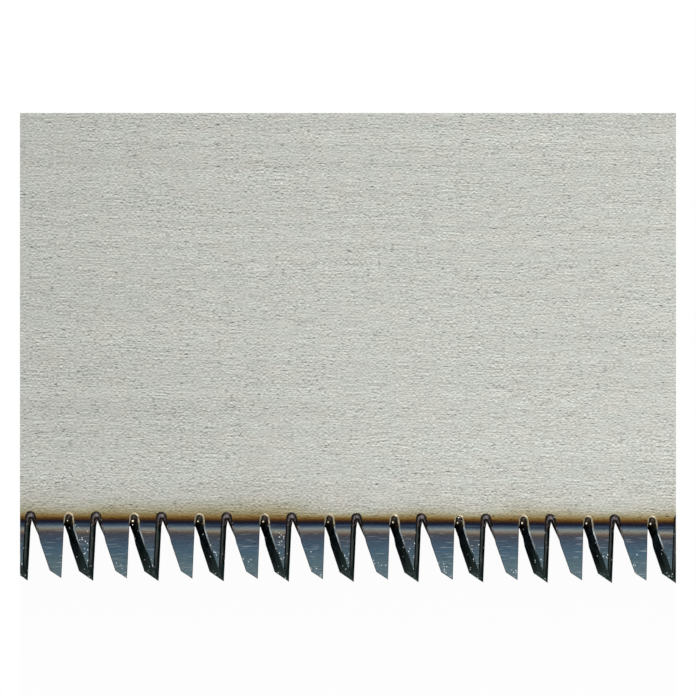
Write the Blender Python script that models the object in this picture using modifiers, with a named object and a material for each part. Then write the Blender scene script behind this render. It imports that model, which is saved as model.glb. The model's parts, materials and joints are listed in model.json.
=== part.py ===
"""Kataba saw: a single-edged pull saw with a hook-in blade, a folded steel head and a two-part wooden handle.

The saw lies on its side. +X runs from the toe of the blade to the butt of the handle, +Y from the teeth
to the spine and +Z up; the flat underside of the handle is at z = 0, under the middle of the saw's outline.
Pieces are laid out in working coordinates with x = 0 at the mouth of the ferrule, y = 0 on the axis of
the handle and z = 0 in the middle of the blade's thickness. One empty carries them to the frame above.
"""

import math

import bmesh
import bpy
from mathutils import Matrix, Vector

MM = 0.001

# Blade plate
BLADE_THICKNESS = 0.6 * MM
SPINE_HEIGHT = 10.0 * MM  # spine above the axis of the handle
HEEL_WIDTH = 34.0 * MM  # spine to the root line of the teeth, at the heel
HEEL_SETBACK = 4.0 * MM  # heel in front of the head
HEEL_FILLET = 7.0 * MM
CHIN_RADIUS = 2.0 * MM
TOE_CORNER = 11.0 * MM
TOE_NOSE = 0.6 * MM
TOOTH_LINE_SLOPE = math.radians(3.0)  # the blade widens towards the toe
TOE_LAND = 1.2 * MM  # plain edge beyond the teeth
HEEL_LAND = 3.5 * MM

# Teeth: three bevels each, and every second tooth has them on the other side
TOOTH_PITCH = 1.75 * MM
TOOTH_COUNT = 151
TOOTH_DEPTH = 3.19 * MM  # root line to tip
FRONT_LEAN = math.radians(3.1)
BACK_LEAN = math.radians(18.1)
BACK_START_UP = 0.094 * MM  # on the root line, past the front of the tooth before, with the flat face up
BACK_START_DOWN = -0.018 * MM  # the same with the flat face down
TIP_SLOPE = math.radians(36.0)
FRONT_BEVEL = 0.33 * MM  # widths of the bevels, seen square to the plate
BACK_BEVEL = 0.43 * MM
TIP_BEVEL = 0.22 * MM
LEAST_LAND = 0.02 * MM  # the bevels of a narrow tooth stop this far from each other
TOOTH_SET = 0.15 * MM  # each tip is bent this far to its flat side
BEND_DEPTH = 0.30 * MM  # the bend starts this far below the root line

# Gullets: a round pocket from each face, and a narrow ridge where the two meet inside the plate.
# A pocket is open beside a bevelled front, and on the plate's other face deep beside a bevelled back.
POCKET_RADIUS = 0.26 * MM
POCKET_RISE_OPEN = 0.18 * MM  # centre of the pocket above the root line
POCKET_RISE_DEEP = 0.12 * MM
POCKET_RUN_FLAT = 1.05 * MM  # depth at which the pocket's side runs into the back of a flat face
POCKET_RUN_BEVEL = 0.55 * MM  # the same on a bevelled face
RIDGE_RADIUS = 0.05 * MM
RIDGE_SHIFT = 0.03 * MM  # from the meeting point of the two teeth to the top of the ridge
RIDGE_DROP_OPEN = 0.07 * MM  # top of the ridge below the root line, under a pocket open to above
RIDGE_DROP_DEEP = 0.36 * MM
RIDGE_PROUD = 0.04 * MM  # under an open pocket the ridge stands this far behind the back of the tooth
RIDGE_KNEE = 0.85 * MM  # it follows the back down to this depth
RIDGE_RUN = 1.60 * MM  # and is lost in the bevel at this one
POCKET_STEPS = 3

# Tang: hooks on a pin and swings up against the fold of the head
HOOK_DEPTH = 4.0 * MM  # from the pin's axis to the lower edge
HOOK_REACH = 8.0 * MM  # from the pin's axis to the rear edge
HOOK_TIP_RADIUS = 1.5 * MM
MOUTH_RADIUS = 0.5 * MM
PIN_PLAY = 0.25 * MM
NOTCH_PLAY = 0.3 * MM
SPINE_PLAY = 0.25 * MM

# Head: one folded sheet, with a shank inside the handle
HEAD_SHEET = 1.4 * MM
HEAD_LENGTH = 40.0 * MM
HEAD_DEPTH = 20.5 * MM  # spine to the open lower edge
HEAD_RAKE = 9.0 * MM  # the front edge slants back this far
HEAD_CORNER = 3.0 * MM
BLADE_PLAY = 0.2 * MM  # each side of the blade
SHANK_LENGTH = 70.0 * MM
SHANK_WIDTH = 14.0 * MM
SHANK_CORNER = 3.0 * MM
SPACER_SETBACK = 5.0 * MM
SPACER_MARGIN = 0.6 * MM

# Hook pin and clamp screw
PIN_SETBACK = 11.0 * MM  # in front of the ferrule's mouth
PIN_DROP = 14.5 * MM  # below the spine
PIN_RADIUS = 2.0 * MM
PIN_HEAD_RADIUS = 3.3 * MM
PIN_HEAD_HEIGHT = 1.1 * MM
SCREW_SETBACK = 28.0 * MM
SCREW_DROP = 5.5 * MM
SCREW_RADIUS = 2.5 * MM
SCREW_END_CHAMFER = 0.5 * MM
SCREW_END_PROUD = 0.8 * MM  # beyond the nut
SCREW_HEAD_RADIUS = 7.0 * MM
SCREW_HEAD_HEIGHT = 5.6 * MM
SCREW_HEAD_CHAMFER = 0.7 * MM
KNURL_COUNT = 22
KNURL_DEPTH = 0.45 * MM
COIN_SLOT_WIDTH = 1.6 * MM
COIN_SLOT_DEPTH = 1.8 * MM
WASHER_RADIUS = 6.0 * MM
WASHER_THICKNESS = 1.0 * MM
NUT_ACROSS_FLATS = 9.0 * MM
NUT_HEIGHT = 4.0 * MM

# Handle
HANDLE_LENGTH = 340.0 * MM
HANDLE_THICKNESS = 22.0 * MM
HANDLE_WIDTH_FRONT = 27.0 * MM
HANDLE_WIDTH_BUTT = 31.0 * MM
HANDLE_CORNER = 8.0 * MM
HANDLE_SEAM = 0.2 * MM
BUTT_ROUND = 3.0 * MM
EDGE_BREAK = 0.6 * MM  # broken edges of the collar and the grip
COLLAR_LENGTH = 9.0 * MM

# Ferrule and rivets
FERRULE_LENGTH = 18.0 * MM
FERRULE_WALL = 1.0 * MM
FERRULE_STEP = 1.3 * MM  # below the surface of the handle
FERRULE_ROUND = 0.8 * MM
RIVET_RADIUS = 1.6 * MM
RIVET_HEAD_RADIUS = 2.9 * MM
RIVET_HEAD_HEIGHT = 0.75 * MM
FERRULE_RIVET_SETBACK = 10.0 * MM  # behind the ferrule's mouth
TANG_RIVET_COUNT = 2
TANG_RIVET_MARGIN = 10.0 * MM  # from the end of the shank
TANG_RIVET_SPACING = 24.0 * MM
TANG_RIVET_SINK = 0.4 * MM  # tang rivets end this far under the seat of the winding

# Winding: one strip of half-round cane
WRAP_TURNS = 24
CANE_WIDTH = 4.3 * MM
CANE_THICKNESS = 1.3 * MM
CANE_EDGE = 0.8 * MM  # height of its upright edges
CANE_EDGE_LEAN = 0.35 * MM
CANE_GAP = 0.45 * MM
WRAP_SINK = 0.2 * MM  # below the surface of the handle
WRAP_END_GAP = 0.3 * MM

FIT = 0.25 * MM  # between pieces that seat on each other
HOLE_STEPS = 20
BAR_STEPS = 20
DOME_STEPS = 4
FILLET_STEP = math.radians(18.0)
CORNER_STEPS = 4
ROUND_STEPS = 4
FOLD_STEPS = 8
SMOOTH_ANGLE = math.radians(35.0)

# Finishes: colour, roughness, metallic
GROUND_STEEL = ((0.56, 0.57, 0.53), 0.38, 1.0)
PLATED_STEEL = ((0.60, 0.60, 0.58), 0.30, 1.0)
BLACKENED_STEEL = ((0.03, 0.03, 0.032), 0.45, 0.8)
BRASS = ((0.72, 0.52, 0.22), 0.32, 1.0)
CYPRESS = ((0.68, 0.47, 0.26), 0.55, 0.0)
RATTAN = ((0.62, 0.38, 0.14), 0.40, 0.0)

# Worked out from the sizes above
SLOT = BLADE_THICKNESS + 2 * BLADE_PLAY
HEAD_HALF = SLOT / 2 + HEAD_SHEET
FOLD_START = SPINE_HEIGHT + SPINE_PLAY
PIN = Vector((-PIN_SETBACK, SPINE_HEIGHT - PIN_DROP))
SCREW = Vector((-SCREW_SETBACK, SPINE_HEIGHT - SCREW_DROP))
TANG_EDGE = PIN.y - HOOK_DEPTH
HEAD_EDGE = SPINE_HEIGHT - HEAD_DEPTH
HEEL = Vector((-HEAD_LENGTH - HEEL_SETBACK, SPINE_HEIGHT - HEEL_WIDTH))
ALONG = Vector((math.cos(TOOTH_LINE_SLOPE), math.sin(TOOTH_LINE_SLOPE)))
ACROSS = Vector((-ALONG.y, ALONG.x))
TOE = HEEL - (TOE_LAND + TOOTH_COUNT * TOOTH_PITCH + HEEL_LAND) * ALONG
LAYERS = (BLADE_THICKNESS / 2, 0, -BLADE_THICKNESS / 2)  # upper face, middle and lower face of the blade
HANDLE_HALF = HANDLE_THICKNESS / 2
WRAP_PITCH = CANE_WIDTH + CANE_GAP
SEAT_START = FERRULE_LENGTH + FIT + COLLAR_LENGTH
SEAT_LENGTH = WRAP_TURNS * WRAP_PITCH + CANE_WIDTH + 2 * WRAP_END_GAP
SEAT_DEPTH = CANE_THICKNESS + FIT + WRAP_SINK


def clear_scene():
    for obj in list(bpy.data.objects):
        bpy.data.objects.remove(obj)


def new_collection(name):
    collection = bpy.data.collections.new(name)
    bpy.context.scene.collection.children.link(collection)
    return collection


def make_material(name, finish):
    colour, roughness, metallic = finish
    material = bpy.data.materials.new(name)
    material.use_nodes = True
    shader = material.node_tree.nodes["Principled BSDF"]
    shader.inputs["Base Color"].default_value = (*colour, 1.0)
    shader.inputs["Roughness"].default_value = roughness
    shader.inputs["Metallic"].default_value = metallic
    return material


def add_piece(name, mesh, finish, location=(0, 0, 0)):
    """A piece of the saw, carried by the root empty."""
    piece = bpy.data.objects.new(name, mesh)
    piece.location = location
    piece.parent = ROOT
    mesh.materials.append(make_material(name, finish))
    PARTS.objects.link(piece)
    return piece


def add_cutter(name, mesh, location=(0, 0, 0)):
    tool = bpy.data.objects.new(name, mesh)
    tool.location = location
    tool.parent = ROOT
    tool.hide_render = True
    tool.display_type = "WIRE"
    CUTTERS.objects.link(tool)
    return tool


def cut(piece, tools, operation="DIFFERENCE"):
    for tool in tools:
        boolean = piece.modifiers.new(tool.name, "BOOLEAN")
        boolean.operation = operation
        boolean.object = tool


def even_shading(piece):
    """Keeps flat faces looking flat where cuts run into them."""
    piece.modifiers.new("even_shading", "WEIGHTED_NORMAL")


def finish_mesh(name, bm):
    """Turns a bmesh into a mesh with outward faces and round stretches shaded smooth."""
    bmesh.ops.recalc_face_normals(bm, faces=bm.faces)
    mesh = bpy.data.meshes.new(name)
    bm.to_mesh(mesh)
    bm.free()
    mesh.shade_smooth()
    mesh.set_sharp_from_angle(angle=SMOOTH_ANGLE)
    return mesh


def arc(centre, radius, start, end, steps):
    """Points on an arc from the start angle to the end angle, both included."""
    angles = [start + (end - start) * i / steps for i in range(steps + 1)]
    return [centre + radius * Vector((math.cos(a), math.sin(a))) for a in angles]


def rounded(corners):
    """Points of an outline given as (point, radius) corners; a radius of 0 keeps a corner sharp."""
    points = []
    for i, (corner, radius) in enumerate(corners):
        if radius == 0:
            points.append(corner)
            continue
        back = (corners[i - 1][0] - corner).normalized()
        ahead = (corners[(i + 1) % len(corners)][0] - corner).normalized()
        half = back.angle(ahead) / 2
        centre = corner + (back + ahead).normalized() * radius / math.sin(half)
        first = corner + back * radius / math.tan(half) - centre
        last = corner + ahead * radius / math.tan(half) - centre
        turn = first.angle_signed(last)
        start = math.atan2(first.y, first.x)
        points += arc(centre, radius, start, start - turn, max(2, round(abs(turn) / FILLET_STEP)))
    return points


def plate_mesh(name, outline, thickness):
    """A flat outline with a thickness, about z = 0."""
    curve = bpy.data.curves.new(name, "CURVE")
    curve.dimensions = "2D"
    curve.fill_mode = "BOTH"
    curve.extrude = thickness / 2
    spline = curve.splines.new("POLY")
    spline.points.add(len(outline) - 1)
    for control, point in zip(spline.points, outline):
        control.co = (*point, 0, 1)
    spline.use_cyclic_u = True
    guide = add_cutter(name, curve)
    drawn = guide.evaluated_get(bpy.context.evaluated_depsgraph_get())
    bm = bmesh.new()
    bm.from_mesh(bpy.data.meshes.new_from_object(drawn))
    bmesh.ops.remove_doubles(bm, verts=bm.verts, dist=MM / 1000)
    bpy.data.objects.remove(guide)
    return finish_mesh(name, bm)


def loft_mesh(name, rings):
    """A closed solid through rings of equally many points, with flat ends."""
    bm = bmesh.new()
    loops = [[bm.verts.new(p) for p in ring] for ring in rings]
    for loop, following in zip(loops, loops[1:]):
        for j, vertex in enumerate(loop):
            bm.faces.new((loop[j - 1], vertex, following[j], following[j - 1]))
    bm.faces.new(loops[0])
    bm.faces.new(loops[-1])
    return finish_mesh(name, bm)


def turned(name, profile, finish, location, closed=False):
    """A piece turned about its own z axis from a profile of (radius, height), top to bottom."""
    mesh = bpy.data.meshes.new(name)
    edges = [(i, i + 1) for i in range(len(profile) - 1)]
    if closed:
        edges.append((len(profile) - 1, 0))
    mesh.from_pydata([(radius, 0, height) for radius, height in profile], edges, [])
    piece = add_piece(name, mesh, finish, location)
    screw = piece.modifiers.new("turn", "SCREW")
    screw.steps = screw.render_steps = BAR_STEPS
    screw.use_merge_vertices = True
    screw.merge_threshold = MM / 1000
    return piece


def drill(name, radius, x, y):
    """A round cutter along z, long enough for any piece."""
    bm = bmesh.new()
    depth = 2 * HANDLE_THICKNESS
    bmesh.ops.create_cone(bm, cap_ends=True, segments=HOLE_STEPS, radius1=radius, radius2=radius, depth=depth)
    return add_cutter(name, finish_mesh(name, bm), (x, y, 0))


def box_cutter(name, low, high):
    low, high = Vector(low), Vector(high)
    bm = bmesh.new()
    place = Matrix.Translation((low + high) / 2) @ Matrix.Diagonal((*(high - low), 1))
    bmesh.ops.create_cube(bm, size=1, matrix=place)
    return add_cutter(name, finish_mesh(name, bm))


# Teeth: points are (along, depth), along the toothed edge from the toe and down from the root line


def tooth_start(index):
    """Where the back of a tooth starts on the root line; odd teeth have their flat face up."""
    return TOE_LAND + index * TOOTH_PITCH + (BACK_START_UP if index % 2 else BACK_START_DOWN)


def tooth_face(index, bevelled):
    """One face of a tooth: three points down its back, shoulder, tip, root of its front."""
    front_cut, back_cut, tip_cut = (FRONT_BEVEL, BACK_BEVEL, TIP_BEVEL) if bevelled else (0, 0, 0)
    front, back, slope = math.tan(FRONT_LEAN), math.tan(BACK_LEAN), math.tan(TIP_SLOPE)
    start = tooth_start(index) + back_cut
    end = TOE_LAND + (index + 1) * TOOTH_PITCH - front_cut
    reach = end + front_cut - TOOTH_DEPTH * front - start
    limit = (end - start - LEAST_LAND) / (front + back)
    tip = min(limit, TOOTH_DEPTH - (tip_cut + front_cut * slope) / (1 + front * slope))
    shoulder = min(limit, (TOOTH_DEPTH - tip_cut - reach * slope) / (1 - back * slope))

    run = POCKET_RUN_BEVEL if bevelled else POCKET_RUN_FLAT
    pocket = pocket_left(index, not bevelled) + 2 * POCKET_RADIUS
    run_out = start + run * back

    def back_edge(depth):
        """The side of the pocket, and from its run-out on the back of the tooth."""
        if depth >= run:
            return start + depth * back, depth
        return run_out + (pocket - run_out) * (run - depth) / (run + pocket_rise(not bevelled)), depth

    return [
        back_edge(BEND_DEPTH),
        back_edge(min(run, RIDGE_KNEE)),
        back_edge(max(run, RIDGE_KNEE)),
        (start + shoulder * back, shoulder),
        (end - tip * front, tip),
        (end - BEND_DEPTH * front, BEND_DEPTH),
    ]


def pocket_rise(is_open):
    return POCKET_RISE_OPEN if is_open else POCKET_RISE_DEEP


def pocket_left(index, is_open):
    """Where the pocket behind a tooth's back starts, on the line of its neighbour's front."""
    front_cut = FRONT_BEVEL if is_open else 0
    return TOE_LAND + index * TOOTH_PITCH - front_cut + pocket_rise(is_open) * math.tan(FRONT_LEAN)


def arch(centre, radius):
    """Points over the top of a pocket or a ridge, whose centre is given as (along, depth)."""
    along, depth = centre
    return [(p.x, -p.y) for p in arc(Vector((along, -depth)), radius, math.pi, 0, POCKET_STEPS)]


def pocket_arch(index, is_open):
    return arch((pocket_left(index, is_open) + POCKET_RADIUS, -pocket_rise(is_open)), POCKET_RADIUS)


def ridge_top(index):
    """Centre of the ridge's top in the gullet behind a tooth's back."""
    drop = RIDGE_DROP_OPEN if index % 2 else RIDGE_DROP_DEEP
    return TOE_LAND + index * TOOTH_PITCH + RIDGE_SHIFT, drop


def tooth_middle(index):
    """The tooth halfway through the plate, with the ridges of the gullets beside it."""
    faces = zip(tooth_face(index, True), tooth_face(index, False))
    *_, shoulder, tip, front = [((a + c) / 2, (b + d) / 2) for (a, b), (c, d) in faces]
    start, back = tooth_start(index), math.tan(BACK_LEAN)
    knee = start + (RIDGE_PROUD if index % 2 else 0) + RIDGE_KNEE * back
    run_out = start + BACK_BEVEL / 2 + RIDGE_RUN * back
    top, drop = ridge_top(index)
    side, depth = top + RIDGE_RADIUS, max(BEND_DEPTH, drop + RIDGE_RADIUS)
    root = side + (knee - side) * (depth - drop) / (RIDGE_KNEE - drop)
    return [(root, depth), (knee, RIDGE_KNEE), (run_out, RIDGE_RUN), shoulder, tip, front]


def toothed_edge():
    """The toothed edge on the three layers of the blade, and where each tooth starts in them."""
    layers, starts = ([], [], []), []
    for i in range(TOOTH_COUNT):
        starts.append(len(layers[0]))
        flat_up = bool(i % 2)
        teeth = (tooth_face(i, not flat_up), tooth_middle(i), tooth_face(i, flat_up))
        gullets = (
            pocket_arch(i + 1, not flat_up),
            arch(ridge_top(i + 1), RIDGE_RADIUS),
            pocket_arch(i + 1, flat_up),
        )
        for layer, height, tooth, gullet in zip(layers, LAYERS, teeth, gullets):
            points = tooth + gullet if i + 1 < TOOTH_COUNT else tooth
            for along, depth in points:
                bend = max(0.0, depth - BEND_DEPTH) / (TOOTH_DEPTH - BEND_DEPTH)
                offset = TOOTH_SET * bend * (1 if flat_up else -1)
                layer.append((*(TOE + along * ALONG - depth * ACROSS), height + offset))
    return layers, starts


# Blade


def pin_notch():
    """Hook round the pin, from the lower edge of the tang back to it."""
    radius = PIN_RADIUS + PIN_PLAY
    before = Vector((PIN.x - radius - MOUTH_RADIUS, TANG_EDGE + MOUTH_RADIUS))
    behind = Vector((PIN.x + radius + MOUTH_RADIUS, TANG_EDGE + MOUTH_RADIUS))
    lead_in = arc(before, MOUTH_RADIUS, -math.pi / 2, 0, ROUND_STEPS)
    lead_out = arc(behind, MOUTH_RADIUS, math.pi, 1.5 * math.pi, ROUND_STEPS)
    return lead_in + arc(PIN, radius, math.pi, 0, 2 * ROUND_STEPS) + lead_out


def hook_back():
    """From the tip of the hook up its rear edge and over to the spine, clear of the fold at any swing."""
    tip = Vector((PIN.x + HOOK_REACH - HOOK_TIP_RADIUS, TANG_EDGE + HOOK_TIP_RADIUS))
    top = arc(PIN, PIN_DROP, math.acos(HOOK_REACH / PIN_DROP), math.pi / 2, ROUND_STEPS)
    return arc(tip, HOOK_TIP_RADIUS, -math.pi / 2, 0, ROUND_STEPS) + top


def screw_notch():
    """Slot that the screw leaves as the blade swings down, from the spine round the screw and back.

    A side whose arc stays under the spine ends above the pin.
    """
    radius = SCREW_RADIUS + NOTCH_PLAY
    arm = SCREW - PIN
    seat = math.atan2(arm.y, arm.x)
    inner, outer = arm.length - radius, arm.length + radius
    mouth_in = math.pi - math.asin(min(1.0, PIN_DROP / inner))
    mouth_out = math.pi - math.asin(min(1.0, PIN_DROP / outer))
    inside = arc(PIN, inner, mouth_in, seat, ROUND_STEPS)
    bottom = arc(SCREW, radius, seat + math.pi, seat, 2 * ROUND_STEPS)[1:-1]
    return inside + bottom + arc(PIN, outer, seat, mouth_out, ROUND_STEPS)


def plain_edge():
    """The rest of the blade's outline, from the heel round the tang and the spine to the toe."""
    heel = rounded([
        (HEEL - HEEL_LAND * ALONG, 0),
        (HEEL, CHIN_RADIUS),
        (Vector((HEEL.x, TANG_EDGE)), HEEL_FILLET),
        (Vector((PIN.x - PIN_RADIUS - PIN_PLAY, TANG_EDGE)), 0),
    ])[1:-1]
    toe = rounded([
        (Vector((SCREW.x, SPINE_HEIGHT)), 0),
        (Vector((TOE.x, SPINE_HEIGHT)), TOE_CORNER),
        (TOE, TOE_NOSE),
        (TOE + TOE_LAND * ALONG, 0),
    ])[1:-1]
    return heel + pin_notch() + hook_back() + screw_notch() + toe


def blade_mesh():
    """Three layers of one outline; the faces of the bent teeth are apart from the faces of the plate."""
    layers, starts = toothed_edge()
    plain = plain_edge()
    bm = bmesh.new()
    loops = []
    for layer, height in zip(layers, LAYERS):
        points = layer + [(*point, height) for point in plain]
        loops.append([bm.verts.new((x - PIN.x, y - PIN.y, z)) for x, y, z in points])
    for upper, lower in zip(loops, loops[1:]):
        for j, vertex in enumerate(upper):
            bm.faces.new((upper[j - 1], vertex, lower[j], lower[j - 1]))
    size = len(tooth_middle(0))
    bent = {start + n for start in starts for n in range(1, size - 1)}
    for loop in (loops[0], loops[-1]):
        bm.faces.new([vertex for j, vertex in enumerate(loop) if j not in bent])
        for start in starts:
            bm.faces.new(loop[start : start + size])
    bmesh.ops.recalc_face_normals(bm, faces=bm.faces)
    mesh = bpy.data.meshes.new("blade")
    bm.to_mesh(mesh)
    bm.free()
    return mesh


# Head


def head_outline():
    """One cheek of the head with its shank."""
    rear, top, shank = -FIT, FOLD_START + HEAD_HALF + HEAD_SHEET, SHANK_WIDTH / 2
    return rounded([
        (Vector((-HEAD_LENGTH + HEAD_RAKE, HEAD_EDGE)), HEAD_CORNER),
        (Vector((rear, HEAD_EDGE)), HEAD_CORNER),
        (Vector((rear, -shank)), 0),
        (Vector((SHANK_LENGTH, -shank)), SHANK_CORNER),
        (Vector((SHANK_LENGTH, shank)), SHANK_CORNER),
        (Vector((rear, shank)), 0),
        (Vector((rear, top)), 0),
        (Vector((-HEAD_LENGTH, top)), HEAD_CORNER),
    ])


def folded_surface():
    """Middle surface of the folded sheet: two cheeks and the fold along the spine."""
    middle = (SLOT + HEAD_SHEET) / 2
    edge = HEAD_EDGE - HEAD_SHEET
    fold = arc(Vector((FOLD_START, 0)), middle, math.pi / 2, -math.pi / 2, FOLD_STEPS)
    bend = [Vector((edge, middle)), *fold, Vector((edge, -middle))]
    bm = bmesh.new()
    ends = (-HEAD_LENGTH - HEAD_SHEET, SHANK_LENGTH + HEAD_SHEET)
    front, rear = [[bm.verts.new((x, *point)) for point in bend] for x in ends]
    for j in range(1, len(bend)):
        bm.faces.new((front[j - 1], rear[j - 1], rear[j], front[j]))
    return finish_mesh("head_channel", bm)


def make_head(holes):
    head = add_piece("head_channel", folded_surface(), PLATED_STEEL)
    sheet = head.modifiers.new("sheet", "SOLIDIFY")
    sheet.thickness = HEAD_SHEET
    sheet.offset = 0
    sheet.use_even_offset = True
    blank = add_cutter("head_blank", plate_mesh("head_blank", head_outline(), HANDLE_THICKNESS))
    cut(head, [blank], "INTERSECT")
    cut(head, holes)
    even_shading(head)


def make_spacer(holes):
    """Strip that keeps the two layers of the shank apart where the rivets squeeze them."""
    edge, end = SHANK_WIDTH / 2 - SPACER_MARGIN, SHANK_LENGTH - SPACER_MARGIN
    outline = rounded([
        (Vector((SPACER_SETBACK, -edge)), SPACER_MARGIN),
        (Vector((end, -edge)), SHANK_CORNER),
        (Vector((end, edge)), SHANK_CORNER),
        (Vector((SPACER_SETBACK, edge)), SPACER_MARGIN),
    ])
    spacer = add_piece("shank_spacer", plate_mesh("shank_spacer", outline, SLOT - 2 * FIT), PLATED_STEEL)
    cut(spacer, holes)
    even_shading(spacer)


def rivet_profile(radius, head_radius, head_height, grip):
    """Profile of a rivet with a domed head at each end of its grip."""
    sphere = (head_radius**2 + head_height**2) / (2 * head_height)
    centre = Vector((0, grip / 2 + head_height - sphere))
    spread = math.asin(head_radius / sphere)
    dome = arc(centre, sphere, math.pi / 2, math.pi / 2 - spread, DOME_STEPS)
    upper = [(0, dome[0].y), *((p.x, p.y) for p in dome[1:]), (radius, grip / 2)]
    return upper + [(r, -z) for r, z in reversed(upper)]


# Clamp screw


def grooved_ring(radius, height, groove=0.0):
    """Points round the screw, every second one set in by the groove."""
    count = 2 * KNURL_COUNT
    points = []
    for j in range(count):
        angle, out = 2 * math.pi * j / count, radius - groove * (j % 2)
        points.append((out * math.cos(angle), out * math.sin(angle), height))
    return points


def make_clamp_screw():
    under = HEAD_HALF + WASHER_THICKNESS + 2 * FIT
    top = under + SCREW_HEAD_HEIGHT
    end = -HEAD_HALF - FIT - NUT_HEIGHT - SCREW_END_PROUD
    rings = [
        grooved_ring(SCREW_RADIUS - SCREW_END_CHAMFER, end),
        grooved_ring(SCREW_RADIUS, end + SCREW_END_CHAMFER),
        grooved_ring(SCREW_RADIUS, under),
        grooved_ring(SCREW_HEAD_RADIUS - SCREW_HEAD_CHAMFER, under),
        grooved_ring(SCREW_HEAD_RADIUS, under + SCREW_HEAD_CHAMFER, KNURL_DEPTH),
        grooved_ring(SCREW_HEAD_RADIUS, top - SCREW_HEAD_CHAMFER, KNURL_DEPTH),
        grooved_ring(SCREW_HEAD_RADIUS - SCREW_HEAD_CHAMFER, top),
    ]
    screw = add_piece("clamp_screw", loft_mesh("clamp_screw", rings), BRASS, (*SCREW, 0))
    reach = Vector((2 * SCREW_HEAD_RADIUS, COIN_SLOT_WIDTH / 2, COIN_SLOT_DEPTH))
    middle = Vector((*SCREW, top))
    cut(screw, [box_cutter("coin_slot", middle - reach, middle + reach)])
    even_shading(screw)


def make_washer():
    bottom, bore = HEAD_HALF + FIT, SCREW_RADIUS + FIT
    top = bottom + WASHER_THICKNESS
    profile = [(bore, top), (WASHER_RADIUS, top), (WASHER_RADIUS, bottom), (bore, bottom)]
    turned("screw_washer", profile, PLATED_STEEL, (*SCREW, 0), closed=True)


def make_nut():
    """Hexagon nut welded under the lower cheek."""
    bm = bmesh.new()
    radius = NUT_ACROSS_FLATS / math.sqrt(3)
    bmesh.ops.create_cone(bm, cap_ends=True, segments=6, radius1=radius, radius2=radius, depth=NUT_HEIGHT)
    middle = -HEAD_HALF - FIT - NUT_HEIGHT / 2
    nut = add_piece("weld_nut", finish_mesh("weld_nut", bm), PLATED_STEEL, (*SCREW, middle))
    cut(nut, [drill("nut_bore", SCREW_RADIUS + FIT, *SCREW)])
    even_shading(nut)


# Handle


def handle_width(x):
    return HANDLE_WIDTH_FRONT + (HANDLE_WIDTH_BUTT - HANDLE_WIDTH_FRONT) * x / HANDLE_LENGTH


def section(x, inset):
    """Rounded rectangle across the handle at x, set in from its surface, as points with outward normals."""
    radius = HANDLE_CORNER - inset
    side, rise = handle_width(x) / 2 - HANDLE_CORNER, HANDLE_HALF - HANDLE_CORNER
    points = []
    for quarter, (y, z) in enumerate(((side, -rise), (side, rise), (-side, rise), (-side, -rise))):
        start = (quarter - 1) * math.pi / 2
        for normal in arc(Vector((0, 0)), 1, start, start + math.pi / 2, CORNER_STEPS):
            points.append((Vector((x, y + radius * normal.x, z + radius * normal.y)), Vector((0, *normal))))
    return points


def section_ring(x, inset):
    return [point for point, _ in section(x, inset)]


def round_off(end, inset, radius, direction):
    """Stations of a rounded end as (x, inset), from the side of the piece to its end."""
    quarter = [math.pi / 2 * i / ROUND_STEPS for i in range(ROUND_STEPS + 1)]
    return [
        (end - direction * radius * (1 - math.sin(a)), inset + radius * (1 - math.cos(a))) for a in quarter
    ]


def handle_stations():
    """Places along the handle as (x, inset): neck in the ferrule, collar, seat of the winding, grip, butt."""
    neck = FERRULE_STEP + FERRULE_WALL + FIT
    collar, grip = FERRULE_LENGTH + FIT, SEAT_START + SEAT_LENGTH
    return [
        (FERRULE_WALL + FIT, neck),
        (collar, neck),
        (collar, EDGE_BREAK),
        (collar + EDGE_BREAK, 0),
        (SEAT_START - EDGE_BREAK, 0),
        (SEAT_START, EDGE_BREAK),
        (SEAT_START, SEAT_DEPTH),
        (grip, SEAT_DEPTH),
        (grip, EDGE_BREAK),
        (grip + EDGE_BREAK, 0),
        *round_off(HANDLE_LENGTH, 0, BUTT_ROUND, 1),
    ]


def half_handle_mesh(name, side):
    """One half of the handle, split in the plane of the blade; side is 1 above it and -1 below."""
    bm = bmesh.new()
    bm.from_mesh(loft_mesh(name, [section_ring(x, inset) for x, inset in handle_stations()]))
    whole = bm.verts[:] + bm.edges[:] + bm.faces[:]
    seam = (0, 0, side * HANDLE_SEAM / 2)
    bmesh.ops.bisect_plane(bm, geom=whole, plane_co=seam, plane_no=(0, 0, side), clear_inner=True)
    bmesh.ops.holes_fill(bm, edges=[edge for edge in bm.edges if edge.is_boundary])
    return finish_mesh(name, bm)


def make_handle(pocket, holes):
    for name, side in (("handle_upper", 1), ("handle_lower", -1)):
        wood = add_piece(name, half_handle_mesh(name, side), CYPRESS)
        cut(wood, [pocket, *holes])
        even_shading(wood)


def make_ferrule(pocket, hole):
    """A drawn steel cap over the front of the handle, slotted for the shank."""
    inner = FERRULE_STEP + FERRULE_WALL
    stations = [
        *reversed(round_off(0, FERRULE_STEP, FERRULE_ROUND, -1)),
        (FERRULE_LENGTH, FERRULE_STEP),
        (FERRULE_LENGTH, inner),
        (FERRULE_WALL, inner),
    ]
    rings = [section_ring(x, inset) for x, inset in stations]
    ferrule = add_piece("ferrule", loft_mesh("ferrule", rings), BLACKENED_STEEL)
    cut(ferrule, [pocket, hole])
    even_shading(ferrule)


# Winding


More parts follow.
